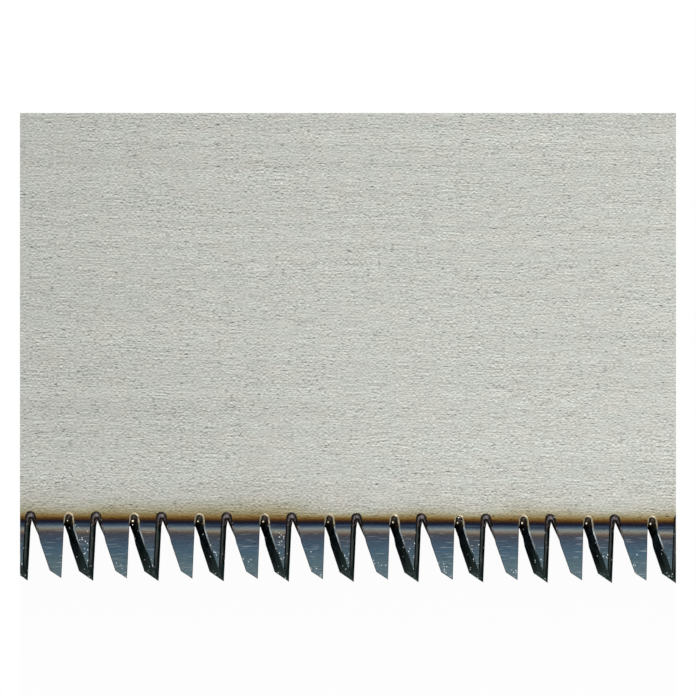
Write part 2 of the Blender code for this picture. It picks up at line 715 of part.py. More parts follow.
def winding_path():
    """Points and normals along the winding, starting and ending under the handle, and points in a turn."""
    first = SEAT_START + WRAP_END_GAP + CANE_WIDTH / 2
    inset = SEAT_DEPTH - FIT
    down = Vector((0, 0, -1))
    under = Vector((0, 0, inset - HANDLE_HALF))
    loop = [under, *(Vector((0, *point.yz)) for point in section_ring(first, inset)), under]
    lengths = [0.0]
    for a, b in zip(loop, loop[1:]):
        lengths.append(lengths[-1] + (b - a).length)
    shares = [length / lengths[-1] for length in lengths[:-1]]
    path = []
    for turn in range(WRAP_TURNS):
        for j, share in enumerate(shares):
            x = first + WRAP_PITCH * (turn + share)
            path.append((under + Vector((x, 0, 0)), down) if j == 0 else section(x, inset)[j - 1])
    path.append((under + Vector((first + WRAP_PITCH * WRAP_TURNS, 0, 0)), down))
    return path, len(shares)


def make_winding():
    edge = CANE_WIDTH / 2
    profile = (
        (-edge, 0),
        (CANE_EDGE_LEAN - edge, CANE_EDGE),
        (0, CANE_THICKNESS),
        (edge - CANE_EDGE_LEAN, CANE_EDGE),
        (edge, 0),
    )
    along = Vector((1, 0, 0))
    path, turn = winding_path()
    rings = [[point + along * x + normal * height for x, height in profile] for point, normal in path]
    add_piece("rattan_wrap", loft_mesh("rattan_wrap", rings), RATTAN)
    gap = min((a - b).length for ring, later in zip(rings, rings[turn:]) for a in ring for b in later)
    print(f"rattan_wrap: least gap between turns {gap / MM:.2f} mm")


# Assembly


def saw_origin(blade):
    """Where the working coordinates lie in the frame: the middle of the saw's outline, on its underside."""
    low_x = min(vertex.co.x for vertex in blade.vertices) + PIN.x
    low_y = min(vertex.co.y for vertex in blade.vertices) + PIN.y
    high_y = max(handle_width(HANDLE_LENGTH - BUTT_ROUND) / 2, FOLD_START + HEAD_HALF)
    return Vector((-(low_x + HANDLE_LENGTH) / 2, -(low_y + high_y) / 2, HANDLE_HALF))


def main():
    blade = blade_mesh()
    ROOT.location = saw_origin(blade)
    add_piece("blade", blade, GROUND_STEEL, (*PIN, 0))

    tang_rivets = [
        SHANK_LENGTH - TANG_RIVET_MARGIN - TANG_RIVET_SPACING * n for n in reversed(range(TANG_RIVET_COUNT))
    ]
    pin_hole = drill("pin_hole", PIN_RADIUS + FIT, *PIN)
    screw_hole = drill("screw_hole", SCREW_RADIUS + NOTCH_PLAY, *SCREW)
    ferrule_hole = drill("ferrule_rivet_hole", RIVET_RADIUS + FIT, FERRULE_RIVET_SETBACK, 0)
    rivet_holes = [ferrule_hole]
    for n, x in enumerate(tang_rivets, 1):
        rivet_holes.append(drill(f"tang_rivet_hole_{n}", RIVET_RADIUS + FIT, x, 0))
    half, edge = HEAD_HALF + FIT, SHANK_WIDTH / 2 + FIT
    pocket = box_cutter("shank_pocket", (-HEAD_LENGTH, -edge, -half), (SHANK_LENGTH + FIT, edge, half))

    make_head([pin_hole, screw_hole, *rivet_holes])
    make_spacer(rivet_holes)
    pin = rivet_profile(PIN_RADIUS, PIN_HEAD_RADIUS, PIN_HEAD_HEIGHT, 2 * (HEAD_HALF + FIT))
    turned("hook_pin", pin, PLATED_STEEL, (*PIN, 0))
    make_washer()
    make_clamp_screw()
    make_nut()
    make_handle(pocket, rivet_holes)
    make_ferrule(pocket, ferrule_hole)

    grip = 2 * (HANDLE_HALF - FERRULE_STEP + FIT)
    rivet = rivet_profile(RIVET_RADIUS, RIVET_HEAD_RADIUS, RIVET_HEAD_HEIGHT, grip)
    turned("ferrule_rivet", rivet, PLATED_STEEL, (FERRULE_RIVET_SETBACK, 0, 0))
    end = HANDLE_HALF - SEAT_DEPTH - TANG_RIVET_SINK
    plain = [(0, end), (RIVET_RADIUS, end), (RIVET_RADIUS, -end), (0, -end)]
    for n, x in enumerate(tang_rivets, 1):
        turned(f"tang_rivet_{n}", plain, PLATED_STEEL, (x, 0, 0))
    make_winding()


clear_scene()
PARTS = new_collection("kataba_saw")
CUTTERS = new_collection("cutters")
ROOT = bpy.data.objects.new("saw", None)
PARTS.objects.link(ROOT)
main()
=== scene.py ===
"""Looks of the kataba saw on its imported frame.

The blade, the winding and the fasteners get finer meshes, and every piece gets a finish. Everything is in
metres in the saw's frame: +X from the toe of the blade to the butt of the handle, +Y from the teeth to the
spine, +Z up. Sizes are written in millimetres and scaled by MM, and patterns are drawn in millimetres.
"""

import json
import math

import bmesh
import bpy
from mathutils import Matrix, Vector


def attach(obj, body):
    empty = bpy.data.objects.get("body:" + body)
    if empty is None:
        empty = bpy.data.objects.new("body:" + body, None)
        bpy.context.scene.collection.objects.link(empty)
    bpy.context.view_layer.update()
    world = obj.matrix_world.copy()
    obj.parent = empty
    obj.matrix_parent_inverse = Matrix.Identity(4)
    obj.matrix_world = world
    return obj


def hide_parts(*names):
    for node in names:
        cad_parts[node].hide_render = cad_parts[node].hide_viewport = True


MM = 0.001

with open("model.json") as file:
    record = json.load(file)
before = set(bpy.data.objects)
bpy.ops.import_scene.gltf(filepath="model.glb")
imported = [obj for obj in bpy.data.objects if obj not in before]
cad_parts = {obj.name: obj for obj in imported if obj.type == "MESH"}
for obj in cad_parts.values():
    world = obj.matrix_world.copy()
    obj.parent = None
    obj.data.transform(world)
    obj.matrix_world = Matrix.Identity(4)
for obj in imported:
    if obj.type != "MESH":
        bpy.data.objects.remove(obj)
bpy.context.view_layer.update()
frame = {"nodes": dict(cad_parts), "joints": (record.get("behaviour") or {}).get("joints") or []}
HINGES = {joint["name"]: Vector(joint["pos_m"]) for joint in frame["joints"] if joint["type"] == "hinge"}
PIN = HINGES["blade_swing"]
SCREW = HINGES["screw_turn"]

# Blade plate, measured from the pin that the tang hooks on
PLATE_THICKNESS = 0.6 * MM
SPINE_ABOVE_PIN = 14.5 * MM
HEEL_BEFORE_PIN = 33.0 * MM
HEEL_BELOW_PIN = 19.5 * MM
HEEL_FILLET = 7.0 * MM
CHIN_RADIUS = 2.0 * MM
TOE_CORNER = 11.0 * MM
TOE_NOSE = 0.6 * MM
TOOTH_LINE_SLOPE = math.radians(3.0)
TOE_LAND = 1.2 * MM
HEEL_LAND = 3.5 * MM
PLATE_EDGE_BREAK = 0.06 * MM

# Teeth: three bevels each, and every second tooth has them on the other side. Leans are run by depth.
TOOTH_PITCH = 1.75 * MM
TOOTH_COUNT = 151
TOOTH_DEPTH = 3.19 * MM
FRONT_LEAN = math.tan(math.radians(3.1))
BACK_LEAN = math.tan(math.radians(18.1))
BACK_START_UP = 0.094 * MM
BACK_START_DOWN = -0.018 * MM
TIP_SLOPE = math.tan(math.radians(36.0))
FRONT_BEVEL = 0.33 * MM
BACK_BEVEL = 0.43 * MM
TIP_BEVEL = 0.22 * MM
LEAST_LAND = 0.02 * MM
TOOTH_SET = 0.15 * MM
BEND_DEPTH = 0.30 * MM

# Gullets: a pocket from each face, open beside a bevelled front and deep beside a bevelled back
POCKET_RADIUS = {"open": 0.29 * MM, "deep": 0.26 * MM}
POCKET_RISE = {"open": 0.15 * MM, "deep": 0.12 * MM}
POCKET_RUN_FLAT = 1.25 * MM
POCKET_RUN_BEVEL = 0.55 * MM
RIDGE_RADIUS = 0.05 * MM
RIDGE_SHIFT = 0.03 * MM
RIDGE_DROP = {"open": 0.07 * MM, "deep": 0.36 * MM}
RIDGE_PROUD = 0.04 * MM
RIDGE_KNEE = 0.85 * MM
RIDGE_RUN = 1.60 * MM
ARCH_STEPS = 10
BACK_POINTS = 3  # points down the back of a tooth, before its shoulder

# Burrs that the grinding wheel leaves along the edges of bevels and pockets
BEVEL_BURR = 0.07 * MM
FLAT_BURR = 0.025 * MM
POCKET_BURR = 0.085 * MM
BURR_DROP = 0.03 * MM

# Tang
HOOK_DEPTH = 4.0 * MM
HOOK_REACH = 8.0 * MM
HOOK_TIP_RADIUS = 1.5 * MM
MOUTH_RADIUS = 0.5 * MM
PIN_NOTCH_RADIUS = 2.25 * MM
SCREW_NOTCH_RADIUS = 2.8 * MM
ROUND_STEPS = 10
FILLET_STEP = math.radians(9.0)

# Fasteners, with heights from the middle of the plate
PIN_RADIUS = 2.0 * MM
PIN_HEAD_RADIUS = 3.3 * MM
PIN_HEAD_HEIGHT = 1.1 * MM
PIN_GRIP = 4.3 * MM  # between the two heads
RIVET_RADIUS = 1.6 * MM
RIVET_HEAD_RADIUS = 2.9 * MM
RIVET_HEAD_HEIGHT = 0.75 * MM
RIVET_GRIP = 19.9 * MM
WASHER_BOTTOM = 2.15 * MM
WASHER_THICKNESS = 1.0 * MM
WASHER_RADIUS = 6.0 * MM
WASHER_EDGE = 0.2 * MM
BORE_RADIUS = 2.75 * MM
SCREW_RADIUS = 2.5 * MM
SCREW_END = -6.95 * MM
SCREW_END_CHAMFER = 0.5 * MM
SCREW_UNDER = 3.4 * MM
SCREW_TOP = 9.0 * MM
SCREW_HEAD_RADIUS = 7.0 * MM
SCREW_HEAD_CHAMFER = 0.7 * MM
THREAD_PITCH = 0.8 * MM
THREAD_DEPTH = 0.45 * MM
KNURL_COUNT = 22
KNURL_DEPTH = 0.45 * MM
COIN_SLOT_WIDTH = 1.6 * MM
COIN_SLOT_DEPTH = 1.8 * MM
NUT_FLAT = 4.5 * MM  # from the axis to a flat
NUT_TOP = -2.15 * MM
NUT_HEIGHT = 4.0 * MM
NUT_CHAMFER = math.tan(math.radians(30.0))
TURN_STEPS = 72
KNURL_STEPS = 4 * KNURL_COUNT
THREAD_STEPS = 8  # rows in one turn of the thread
DOME_STEPS = 12

# Handle and winding; the mouth of the ferrule is measured from the pin
MOUTH_BEHIND_PIN = 11.0 * MM
AXIS_ABOVE_PIN = 4.5 * MM
FERRULE_RIVET_SETBACK = 10.0 * MM
HANDLE_LENGTH = 340.0 * MM
HANDLE_HALF = 11.0 * MM
HANDLE_WIDTH_FRONT = 27.0 * MM
HANDLE_WIDTH_BUTT = 31.0 * MM
HANDLE_CORNER = 8.0 * MM
SEAT_START = 27.25 * MM
SEAT_INSET = 1.5 * MM
WRAP_TURNS = 24
WRAP_PITCH = 4.75 * MM
WRAP_END_GAP = 0.3 * MM
CANE_WIDTH = 4.3 * MM
CANE_THICKNESS = 1.3 * MM
CANE_TAPER = 7.0 * MM  # length over which its two ends are pared down
CANE_END = 0.35  # share of the thickness left at the ends
CANE_FULLNESS = 0.7  # 1 is a half ellipse, less is squarer
CANE_STEPS = 10
CORNER_STEPS = 8
FLAT_STEPS = 6

EDGE_ANGLE = math.radians(40.0)  # edges bent by more are shaded as sharp ones, or broken

# Photograph: 696 pixels square, about 18.6 to a millimetre, with white margins at the top and the sides
PICTURE = 696
MARGIN_LEFT = 20
MARGIN_RIGHT = 676
MARGIN_TOP = 113
LENS = 300.0
SENSOR = 36.0
CAMERA_DISTANCE = 313.25 * MM
CAMERA_LEFT = math.radians(6.0)
CAMERA_BELOW = math.radians(11.9)
CAMERA_ROLL = math.radians(-0.749)
PHOTO_TOOTH = 76  # the picture's middle is along from the start of this tooth and up from the root line
PHOTO_ALONG = 1.377 * MM
PHOTO_RISE = 9.471 * MM
MAT_DISTANCE = 2.0 * MM
MAT_LIT = 0.99

# Studio: softboxes as place, aim, size and watts. The one above hangs a little towards the handle, so that
# the plate dims towards the toe.
SOFTBOXES = {
    "softbox_above": ((0.02, 0.12, 0.62), (0.02, 0.12, 0.0), (0.4, 0.6), 0.84),
    "softbox_front": ((-0.5, -0.9, 1.5), (0.0, 0.0, 0.0), (1.4, 1.0), 16.0),
}
SKY = ((0.0, 0.75), (0.3, 0.5), (0.6, 0.44), (0.92, 0.36))  # its grey from the horizon up
PLAIN_WHITE = (1.0, 1.0, 1.0, 1.0)
PAPER_WHITE = (0.95, 0.95, 0.95, 1.0)
FLOOR_LIT = 0.90
FLOOR_RADIUS = 25.0
FLOOR_STEPS = 64
FLOOR_DROP = 0.1 * MM

ALONG = Vector((math.cos(TOOTH_LINE_SLOPE), math.sin(TOOTH_LINE_SLOPE)))
ACROSS = Vector((-ALONG.y, ALONG.x))
HEEL = PIN.xy + Vector((-HEEL_BEFORE_PIN, -HEEL_BELOW_PIN))
TOE = HEEL - (TOE_LAND + TOOTH_COUNT * TOOTH_PITCH + HEEL_LAND) * ALONG
SPINE = PIN.y + SPINE_ABOVE_PIN
TANG_EDGE = PIN.y - HOOK_DEPTH
MOUTH = PIN + Vector((MOUTH_BEHIND_PIN, AXIS_ABOVE_PIN, 0))


# Materials

DUST_CELL = 0.13  # millimetres from one grain of grinding dust to the next
DUST_RADIUS = 0.26  # of a grain, as a share of its cell
DUST_ON_SCALE = "#C9CDCB"
DUST_ON_STEEL = "#D3DADB"
NOISE_SPAN = (0.3, 0.7)  # noise lies mostly between these levels
LINE_DEPTH = 0.02 * MM  # relief of brushed, turned and drawn lines


def linear(code):
    """Linear colour of an sRGB hex value."""
    shares = [int(code[i : i + 2], 16) / 255 for i in (1, 3, 5)]
    return (*(c / 12.92 if c <= 0.04045 else ((c + 0.055) / 1.055) ** 2.4 for c in shares), 1.0)


def add(tree, kind, inputs=(), stops=(), output=0, **settings):
    """Adds a node and gives one of its outputs.

    Inputs are values or sockets, in their order or by name, and stops are the colours or greys of a ramp.
    """
    node = tree.nodes.new("ShaderNode" + kind)
    for name, value in settings.items():
        setattr(node, name, value)
    for key, value in inputs.items() if isinstance(inputs, dict) else enumerate(inputs):
        if isinstance(value, bpy.types.NodeSocket):
            tree.links.new(value, node.inputs[key])
        else:
            node.inputs[key].default_value = value
    if stops:
        elements = node.color_ramp.elements
        while len(elements) < len(stops):
            elements.new(1.0)
        for element, (position, colour) in zip(elements, stops):
            element.position = position
            element.color = linear(colour) if isinstance(colour, str) else (colour, colour, colour, 1.0)
    return node.outputs[output]


def new_finish(name, metallic, roughness):
    material = bpy.data.materials.new(name)
    material.use_nodes = True
    shader = material.node_tree.nodes["Principled BSDF"]
    shader.inputs["Metallic"].default_value = metallic
    shader.inputs["Roughness"].default_value = roughness
    return material, material.node_tree, shader


def finished(material, shader, colour, relief=None, gloss=None):
    """Gives a material its colour and, where it has them, the relief and the gloss of its marks."""
    for name, socket in (("Base Color", colour), ("Normal", relief), ("Roughness", gloss)):
        if socket is not None:
            material.node_tree.links.new(socket, shader.inputs[name])
    return material


def saw_place(tree):
    """Millimetres in the saw's frame."""
    spot = add(tree, "TexCoord", output="Object")
    return add(tree, "Mapping", {"Vector": spot, "Scale": [1 / MM] * 3})


def blade_place(tree):
    """Millimetres on the blade, x along the toothed edge and y up from the root line, and the y alone."""
    start = Matrix.Rotation(-TOOTH_LINE_SLOPE, 3, "Z") @ Vector((*TOE, PIN.z)) / MM
    spot = add(tree, "Mapping", {
        "Vector": add(tree, "TexCoord", output="Object"),
        "Location": -start,
        "Rotation": (0, 0, -TOOTH_LINE_SLOPE),
        "Scale": [1 / MM] * 3,
    })
    return spot, add(tree, "SeparateXYZ", {"Vector": spot}, output="Y")


def grain(tree, spot, size, detail=2.0, roughness=0.5):
    """Noise from 0 to 1 whose grains have this size in millimetres."""
    stretched = add(tree, "Mapping", {"Vector": spot, "Scale": [1 / side for side in size]})
    inputs = {"Vector": stretched, "Scale": 1.0, "Detail": detail, "Roughness": roughness}
    return add(tree, "TexNoise", inputs)


def swing(tree, spot, size, detail=2.0):
    """The same noise about 0."""
    return add(tree, "Math", (grain(tree, spot, size, detail), 0.5), operation="SUBTRACT")


def dust(tree, spot, share):
    """Mask of tiny bright grains left by grinding, in this share of their cells."""
    cells = add(tree, "Mapping", {"Vector": spot, "Scale": [1 / DUST_CELL] * 3})
    distance = add(tree, "TexVoronoi", {"Vector": cells, "Scale": 1.0})
    pick = add(tree, "SeparateColor", {"Color": distance.node.outputs["Color"]})
    near = add(tree, "Math", (distance, DUST_RADIUS), operation="LESS_THAN")
    kept = add(tree, "Math", (pick, share), operation="LESS_THAN")
    return add(tree, "Math", (near, kept), operation="MULTIPLY")


def toned(tree, colour, *tones):
    """A colour multiplied by tones, one after the other."""
    for tone in tones:
        inputs = {"Factor": 1.0, "A": colour, "B": tone}
        colour = add(tree, "Mix", inputs, output="Result", data_type="RGBA", blend_type="MULTIPLY")
    return colour


def covered(tree, colour, other, share):
    """A colour with this share of another one over it."""
    inputs = {"Factor": share, "A": colour, "B": linear(other)}
    return add(tree, "Mix", inputs, output="Result", data_type="RGBA")


def fade(tree, colour, place, start, end, other):
    """A colour that turns into another one as a place goes from start to end."""
    share = add(tree, "MapRange", (place, start, end))
    return covered(tree, colour, other, share)


# Bands of the impulse-hardened edge by depth below the root line, in millimetres
HEAT_TOP, HEAT_BOTTOM = -2.4, 3.2
HEAT_BANDS = (
    (-2.2, "#C6C8C1"),
    (-1.1, "#C0C0B8"),
    (-0.67, "#B8B7AA"),
    (-0.42, "#A9A38A"),
    (-0.25, "#8F8057"),
    (-0.13, "#76582B"),
    (-0.02, "#48311B"),
    (0.09, "#201A20"),
    (0.20, "#1C2637"),
    (0.32, "#465567"),
    (0.43, "#79868A"),
    (0.51, "#84847C"),
    (0.60, "#726B62"),
    (0.68, "#5A5451"),
    (0.78, "#484B53"),
    (1.05, "#455160"),
    (1.60, "#4A6172"),
    (2.20, "#566B74"),
    (2.80, "#62757C"),
)
HEAT_WANDER = 0.10  # width in which a band wanders up and down
STRAW_WANDER = 1.6  # the same for the straw far above the teeth
STRAW_LOW, STRAW_HIGH = 0.15, 0.9  # heights between which the straw starts to wander

# Furrows of the grinding grit: size in millimetres, detail, depth of tone. Each is painted as a lit side,
# and one furrow's width further a share of that tone as painted shade.
FURROWS = (
    ((1.30, 0.050, 0.3), 2.0, 1.05),
    ((0.15, 0.052, 0.3), 1.0, 1.5),
)
FURROW_WIDTH = 0.09
FURROW_SHADE = 0.36

# Long streaks of the wheel and slow clouds over the plate: size in millimetres, detail, depth of tone
LONG_STREAKS = (
    ((70.0, 0.80, 20.0), 3.0, 0.27),
    ((40.0, 22.0, 20.0), 1.0, 0.2),
)

# Dark strokes among them: turn in degrees, size in millimetres, level of noise below which they lie
DARK_STROKES = (
    (0.0, (0.35, 0.06, 0.3), 0.30),
    (14.0, (0.60, 0.05, 0.3), 0.26),
    (-20.0, (0.55, 0.05, 0.3), 0.25),
    (55.0, (0.40, 0.05, 0.3), 0.22),
    (-65.0, (0.35, 0.05, 0.3), 0.22),
)
STROKE_DEPTH = 0.6
STROKE_EDGE = 0.05  # levels of noise over which a stroke fades out

# Heights about the root line, in millimetres, between which the heat veils the marks, and what it leaves of
# them. They are also stronger in some places than in others.
VEIL_LOW, VEIL_HIGH = -0.5, 0.3
VEILED_SHARE = 0.45
LEAST_MARKS, MOST_MARKS = 0.8, 1.2

# Bright scratches on the teeth: height below which they lie, levels of noise from none to all, strength
HARD_BELOW = -0.6
SCRATCH_LEVELS = (0.64, 0.72)
SCRATCH_STRENGTH = 0.30

# Drifts of dust lie where noise that gains by this slope towards the tips is over a level
DRIFT_SLOPE = 0.12
DRIFT_LEVEL = 0.9
DRIFT_SHARE = 0.6  # of the cells in a drift have a grain


def heat_colour(tree, spot, height, drop):
    """Colours of the flash of heat by height, wandering up and down along the edge."""
    wander = swing(tree, spot, (2.4, 1.2, 1.0), 3.0)
    level = add(tree, "Math", (wander, HEAT_WANDER, drop), operation="MULTIPLY_ADD")
    level = add(tree, "Math", (height, level), operation="ADD")
    straw = add(tree, "MapRange", (height, STRAW_LOW, STRAW_HIGH, 0.0, STRAW_WANDER))
    uneven = swing(tree, spot, (6.0, 3.0, 3.0), 1.0)
    level = add(tree, "Math", (uneven, straw, level), operation="MULTIPLY_ADD")
    share = add(tree, "MapRange", (level, -HEAT_TOP, -HEAT_BOTTOM))
    span = HEAT_BOTTOM - HEAT_TOP
    stops = [((depth - HEAT_TOP) / span, band) for depth, band in HEAT_BANDS]
    return add(tree, "ValToRGB", (share,), stops)


def grinding_marks(tree, spot, height):
    """Tone of furrows painted lit and shaded, of streaks and of strokes, about three times as coarse as the
    grit that leaves them.
    """
    marks = 0.0
    far_side = add(tree, "Mapping", {"Vector": spot, "Location": (0, FURROW_WIDTH, 0)})
    for size, detail, depth in FURROWS:
        # painted light on one side of each furrow, and painted shade one furrow's width further
        lit, shaded = [swing(tree, side, size, detail) for side in (spot, far_side)]
        furrow = add(tree, "Math", (shaded, -FURROW_SHADE, lit), operation="MULTIPLY_ADD")
        marks = add(tree, "Math", (furrow, depth, marks), operation="MULTIPLY_ADD")
    for size, detail, depth in LONG_STREAKS:
        streak = swing(tree, spot, size, detail)
        marks = add(tree, "Math", (streak, depth, marks), operation="MULTIPLY_ADD")
    for turn, size, rare in DARK_STROKES:
        turned = add(tree, "Mapping", {"Vector": spot, "Rotation": (0, 0, math.radians(turn))})
        noise = grain(tree, turned, size, 1.0)
        stroke = add(tree, "MapRange", (noise, rare, rare + STROKE_EDGE, -STROKE_DEPTH, 0.0))
        marks = add(tree, "Math", (stroke, marks), operation="ADD")
    patches = grain(tree, spot, (5.0, 1.2, 1.5), 2.0)
    patchy = add(tree, "MapRange", (patches, *NOISE_SPAN, LEAST_MARKS, MOST_MARKS))
    veil = add(tree, "MapRange", (height, VEIL_LOW, VEIL_HIGH, VEILED_SHARE))
    veil = add(tree, "Math", (veil, patchy), operation="MULTIPLY")
    return add(tree, "Math", (marks, veil, 1.0), operation="MULTIPLY_ADD")


def bright_specks(tree, spot, height, dusty):
    """Mask of scratches on the hardened teeth, and of grains of dust in drifts towards their tips."""
    scratches = grain(tree, spot, (0.9, 0.05, 0.3), 1.0)
    scratches = add(tree, "MapRange", (scratches, *SCRATCH_LEVELS, 0.0, SCRATCH_STRENGTH))
    hard = add(tree, "Math", (height, HARD_BELOW), operation="LESS_THAN")
    scratches = add(tree, "Math", (scratches, hard), operation="MULTIPLY")
    clouds = grain(tree, spot, (1.1, 0.9, 0.9), 1.0)
    drift = add(tree, "Math", (height, -DRIFT_SLOPE, clouds), operation="MULTIPLY_ADD")
    drift = add(tree, "Math", (drift, DRIFT_LEVEL - dusty), operation="GREATER_THAN")
    drift = add(tree, "Math", (drift, dust(tree, spot, DRIFT_SHARE)), operation="MULTIPLY")
    return add(tree, "Math", (scratches, drift), operation="MAXIMUM")


def ground_blade_steel(name, tone, heat_drop, dusty):
    """Cold-rolled tool steel, ground lengthwise, its edge hardened by one flash of heat.

    Fine broken furrows lie along the plate, and the heated edge runs from straw through brown to blue.
    The heat bands may lie a little lower, by a drop in millimetres, and dusty adds to the grains of dust.
    """
    material, tree, shader = new_finish(name, 1.0, 0.42)
    spot, height = blade_place(tree)
    tint = grain(tree, spot, (1.1, 0.7, 0.7), 1.0)
    film = add(tree, "ValToRGB", (tint,), [(0.3, "#FFFEFC"), (0.7, "#FBFFFD")])
    colour = heat_colour(tree, spot, height, heat_drop)
    colour = toned(tree, colour, grinding_marks(tree, spot, height), film, linear(tone))
    bright = bright_specks(tree, spot, height, dusty)
    return finished(material, shader, covered(tree, colour, DUST_ON_STEEL, bright))


SCALE_EDGE_TINT = (0.45, 0.45, 0.45, 1.0)

# Tones across the thickness of the plate, by the distance from its middle in millimetres: painted highlight
# and shade in stripes on the walls of the open pockets, a painted highlight on the burr of their legs, and
# painted shade deep inside the deep pockets
HALF_PLATE = PLATE_THICKNESS / 2 / MM
POCKET_HIGHLIGHT_AND_SHADE = (
    (0.0, 0.55), (0.03, 0.5), (0.07, 0.06), (0.12, 0.06), (0.17, 1.0), (0.22, 0.9), (0.27, 0.06),
)
BURR_HIGHLIGHT = ((0.262, 0.1), (0.275, 1.0), (0.29, 1.0), (0.298, 0.15))
SHADE_INSIDE = ((0.08, 0.03), (0.24, 1.0))
STRIPE_WANDER = 0.04

# Painted glint in each deep pocket, a highlight on its wall: place along from the root, height, radius
PAINTED_GLINT = (0.20, -0.05, 0.055)
GLINT_COLOUR = "#A8A08E"
GLINT_WANDER = 0.12


def scaled_steel(name, dark, light, size, roughness, specks=0.05, below=None, tones=None, glint=None):
    """Steel with a skin of heat scale, its tone wandering between two colours in patches of this size.

    Grains of grinding dust stick to it as tiny bright specks. The colour may turn to another one between
    two heights about the root line, as (start, end, colour), its tone may change through the plate as
    painted highlight and shade, and every pocket may have a painted glint.
    """
    material, tree, shader = new_finish(name, 1.0, roughness)
    shader.inputs["Specular Tint"].default_value = SCALE_EDGE_TINT
    spot, height = blade_place(tree)
    colour = add(tree, "ValToRGB", (grain(tree, spot, size, 3.0, 0.6),), [(0.35, dark), (0.65, light)])
    if below:
        colour = fade(tree, colour, height, *below)
    ragged = swing(tree, spot, (0.3, 0.3, 0.3))
    # the tones through the plate are painted highlight and shade on the pocket walls and burrs
    if tones:
        inward = add(tree, "Math", (height.node.outputs["Z"],), operation="ABSOLUTE")
        inward = add(tree, "Math", (ragged, STRIPE_WANDER, inward), operation="MULTIPLY_ADD")
        inward = add(tree, "Math", (inward, HALF_PLATE), operation="DIVIDE")
        stops = [(distance / HALF_PLATE, tone) for distance, tone in tones]
        colour = toned(tree, colour, add(tree, "ValToRGB", (inward,), stops))
    # painted glint: a bright spot on the wall of each deep pocket that stands for a highlight
    if glint:
        *middle, radius = glint
        along = add(tree, "Math", (height.node.outputs["X"], TOE_LAND / MM), operation="SUBTRACT")
        along = add(tree, "Math", (along, TOOTH_PITCH / MM), operation="FLOORED_MODULO")
        flat = add(tree, "CombineXYZ", {"X": along, "Y": height})
        away = add(tree, "VectorMath", (flat, (*middle, 0.0)), output="Value", operation="DISTANCE")
        away = add(tree, "Math", (ragged, GLINT_WANDER, away), operation="MULTIPLY_ADD")
        colour = fade(tree, colour, away, radius, radius / 2, GLINT_COLOUR)
    return finished(material, shader, covered(tree, colour, DUST_ON_SCALE, dust(tree, spot, specks)))


# Fronts of the teeth: where across them, in millimetres, the stripe lies, and the tone towards their tips
FRONT_STRIPE = ((0.13, False), (0.20, True), (0.24, True), (0.32, False))
FRONT_WANDER = 0.16
FRONT_TIP = (-2.0, -2.6, "#1E2727")


def scaled_front_steel(name, dark, light):
    """The fronts of the teeth: heat scale that the wheel has rubbed to a grey stripe along the middle."""
    material, tree, shader = new_finish(name, 1.0, 0.30)
    shader.inputs["Specular Tint"].default_value = SCALE_EDGE_TINT
    spot, height = blade_place(tree)
    pitch, bevel = TOOTH_PITCH / MM, FRONT_BEVEL / MM
    along = add(tree, "Math", (height, -FRONT_LEAN, height.node.outputs["X"]), operation="MULTIPLY_ADD")
    along = add(tree, "Math", (along, (bevel - TOE_LAND / MM) % pitch), operation="ADD")
    across = add(tree, "Math", (along, pitch), operation="FLOORED_MODULO")
    ragged = grain(tree, spot, (0.25, 0.6, 0.2), 2.0)
    across = add(tree, "Math", (ragged, FRONT_WANDER, across), operation="MULTIPLY_ADD")
    stops = [(place, light if rubbed else dark) for place, rubbed in FRONT_STRIPE]
    colour = add(tree, "ValToRGB", (across,), stops)
    colour = fade(tree, colour, height, *FRONT_TIP)
    return finished(material, shader, covered(tree, colour, DUST_ON_SCALE, dust(tree, spot, 0.06)))


def brushed_nickel(name, dark, light, roughness):
    """Steel sheet, brushed lengthwise and nickel plated: a soft warm grey gloss with fine lines along it.

    The brush lines are drawn about twice as wide as the grit that leaves them.
    """
    material, tree, shader = new_finish(name, 1.0, roughness)
    spot = saw_place(tree)
    lines = grain(tree, spot, (16.0, 0.16, 0.16), 2.0)
    clouds = grain(tree, spot, (9.0, 6.0, 6.0), 2.0)
    tone = add(tree, "Math", (clouds, 0.5, lines), operation="MULTIPLY_ADD")
    low, high = 0.45, 1.0
    colour = add(tree, "ValToRGB", (tone,), [(low, dark), (high, light)])
    gloss = add(tree, "MapRange", (tone, low, high, roughness + 0.08, roughness - 0.06))
    relief = add(tree, "Bump", {"Height": lines, "Strength": 0.15, "Distance": LINE_DEPTH})
    return finished(material, shader, colour, relief, gloss)


WORN_DEPTH = 0.5  # millimetres from the rubbed crests of a knurl down to its dark grooves
WORN_EDGE = 0.05


def turned_metal(name, axis, dark, light, roughness, worn_radius=None):
    """Metal turned on a lathe: fine rings about its axis, and crests that the hand keeps bright.

    The tool leaves a ring every tenth of a millimetre, drawn about twice as coarse.
    """
    material, tree, shader = new_finish(name, 1.0, roughness)
    spot = add(tree, "Mapping", {"Vector": saw_place(tree), "Location": -axis / MM})
    flat = add(tree, "VectorMath", (spot, (1.0, 1.0, 0.0)), operation="MULTIPLY")
    radius = add(tree, "VectorMath", (flat,), output="Value", operation="LENGTH")
    ring = add(tree, "CombineXYZ", {"X": radius})
    rings = grain(tree, ring, (0.22, 1.0, 1.0), 1.0)
    clouds = grain(tree, spot, (3.0, 3.0, 3.0), 3.0)
    tone = add(tree, "Math", (clouds, 0.6, rings), operation="MULTIPLY_ADD")
    colour = add(tree, "ValToRGB", (tone,), [(0.5, dark), (1.0, light)])
    if worn_radius:
        groove = add(tree, "MapRange", (radius, worn_radius - WORN_DEPTH, worn_radius - WORN_EDGE))
        beyond = add(tree, "Math", (radius, worn_radius - WORN_DEPTH - WORN_EDGE), operation="GREATER_THAN")
        groove = add(tree, "Math", (1.0, groove), operation="SUBTRACT")
        groove = add(tree, "Math", (groove, beyond), operation="MULTIPLY")
        colour = covered(tree, colour, dark, groove)
    relief = add(tree, "Bump", {"Height": rings, "Strength": 0.2, "Distance": LINE_DEPTH})
    return finished(material, shader, colour, relief)


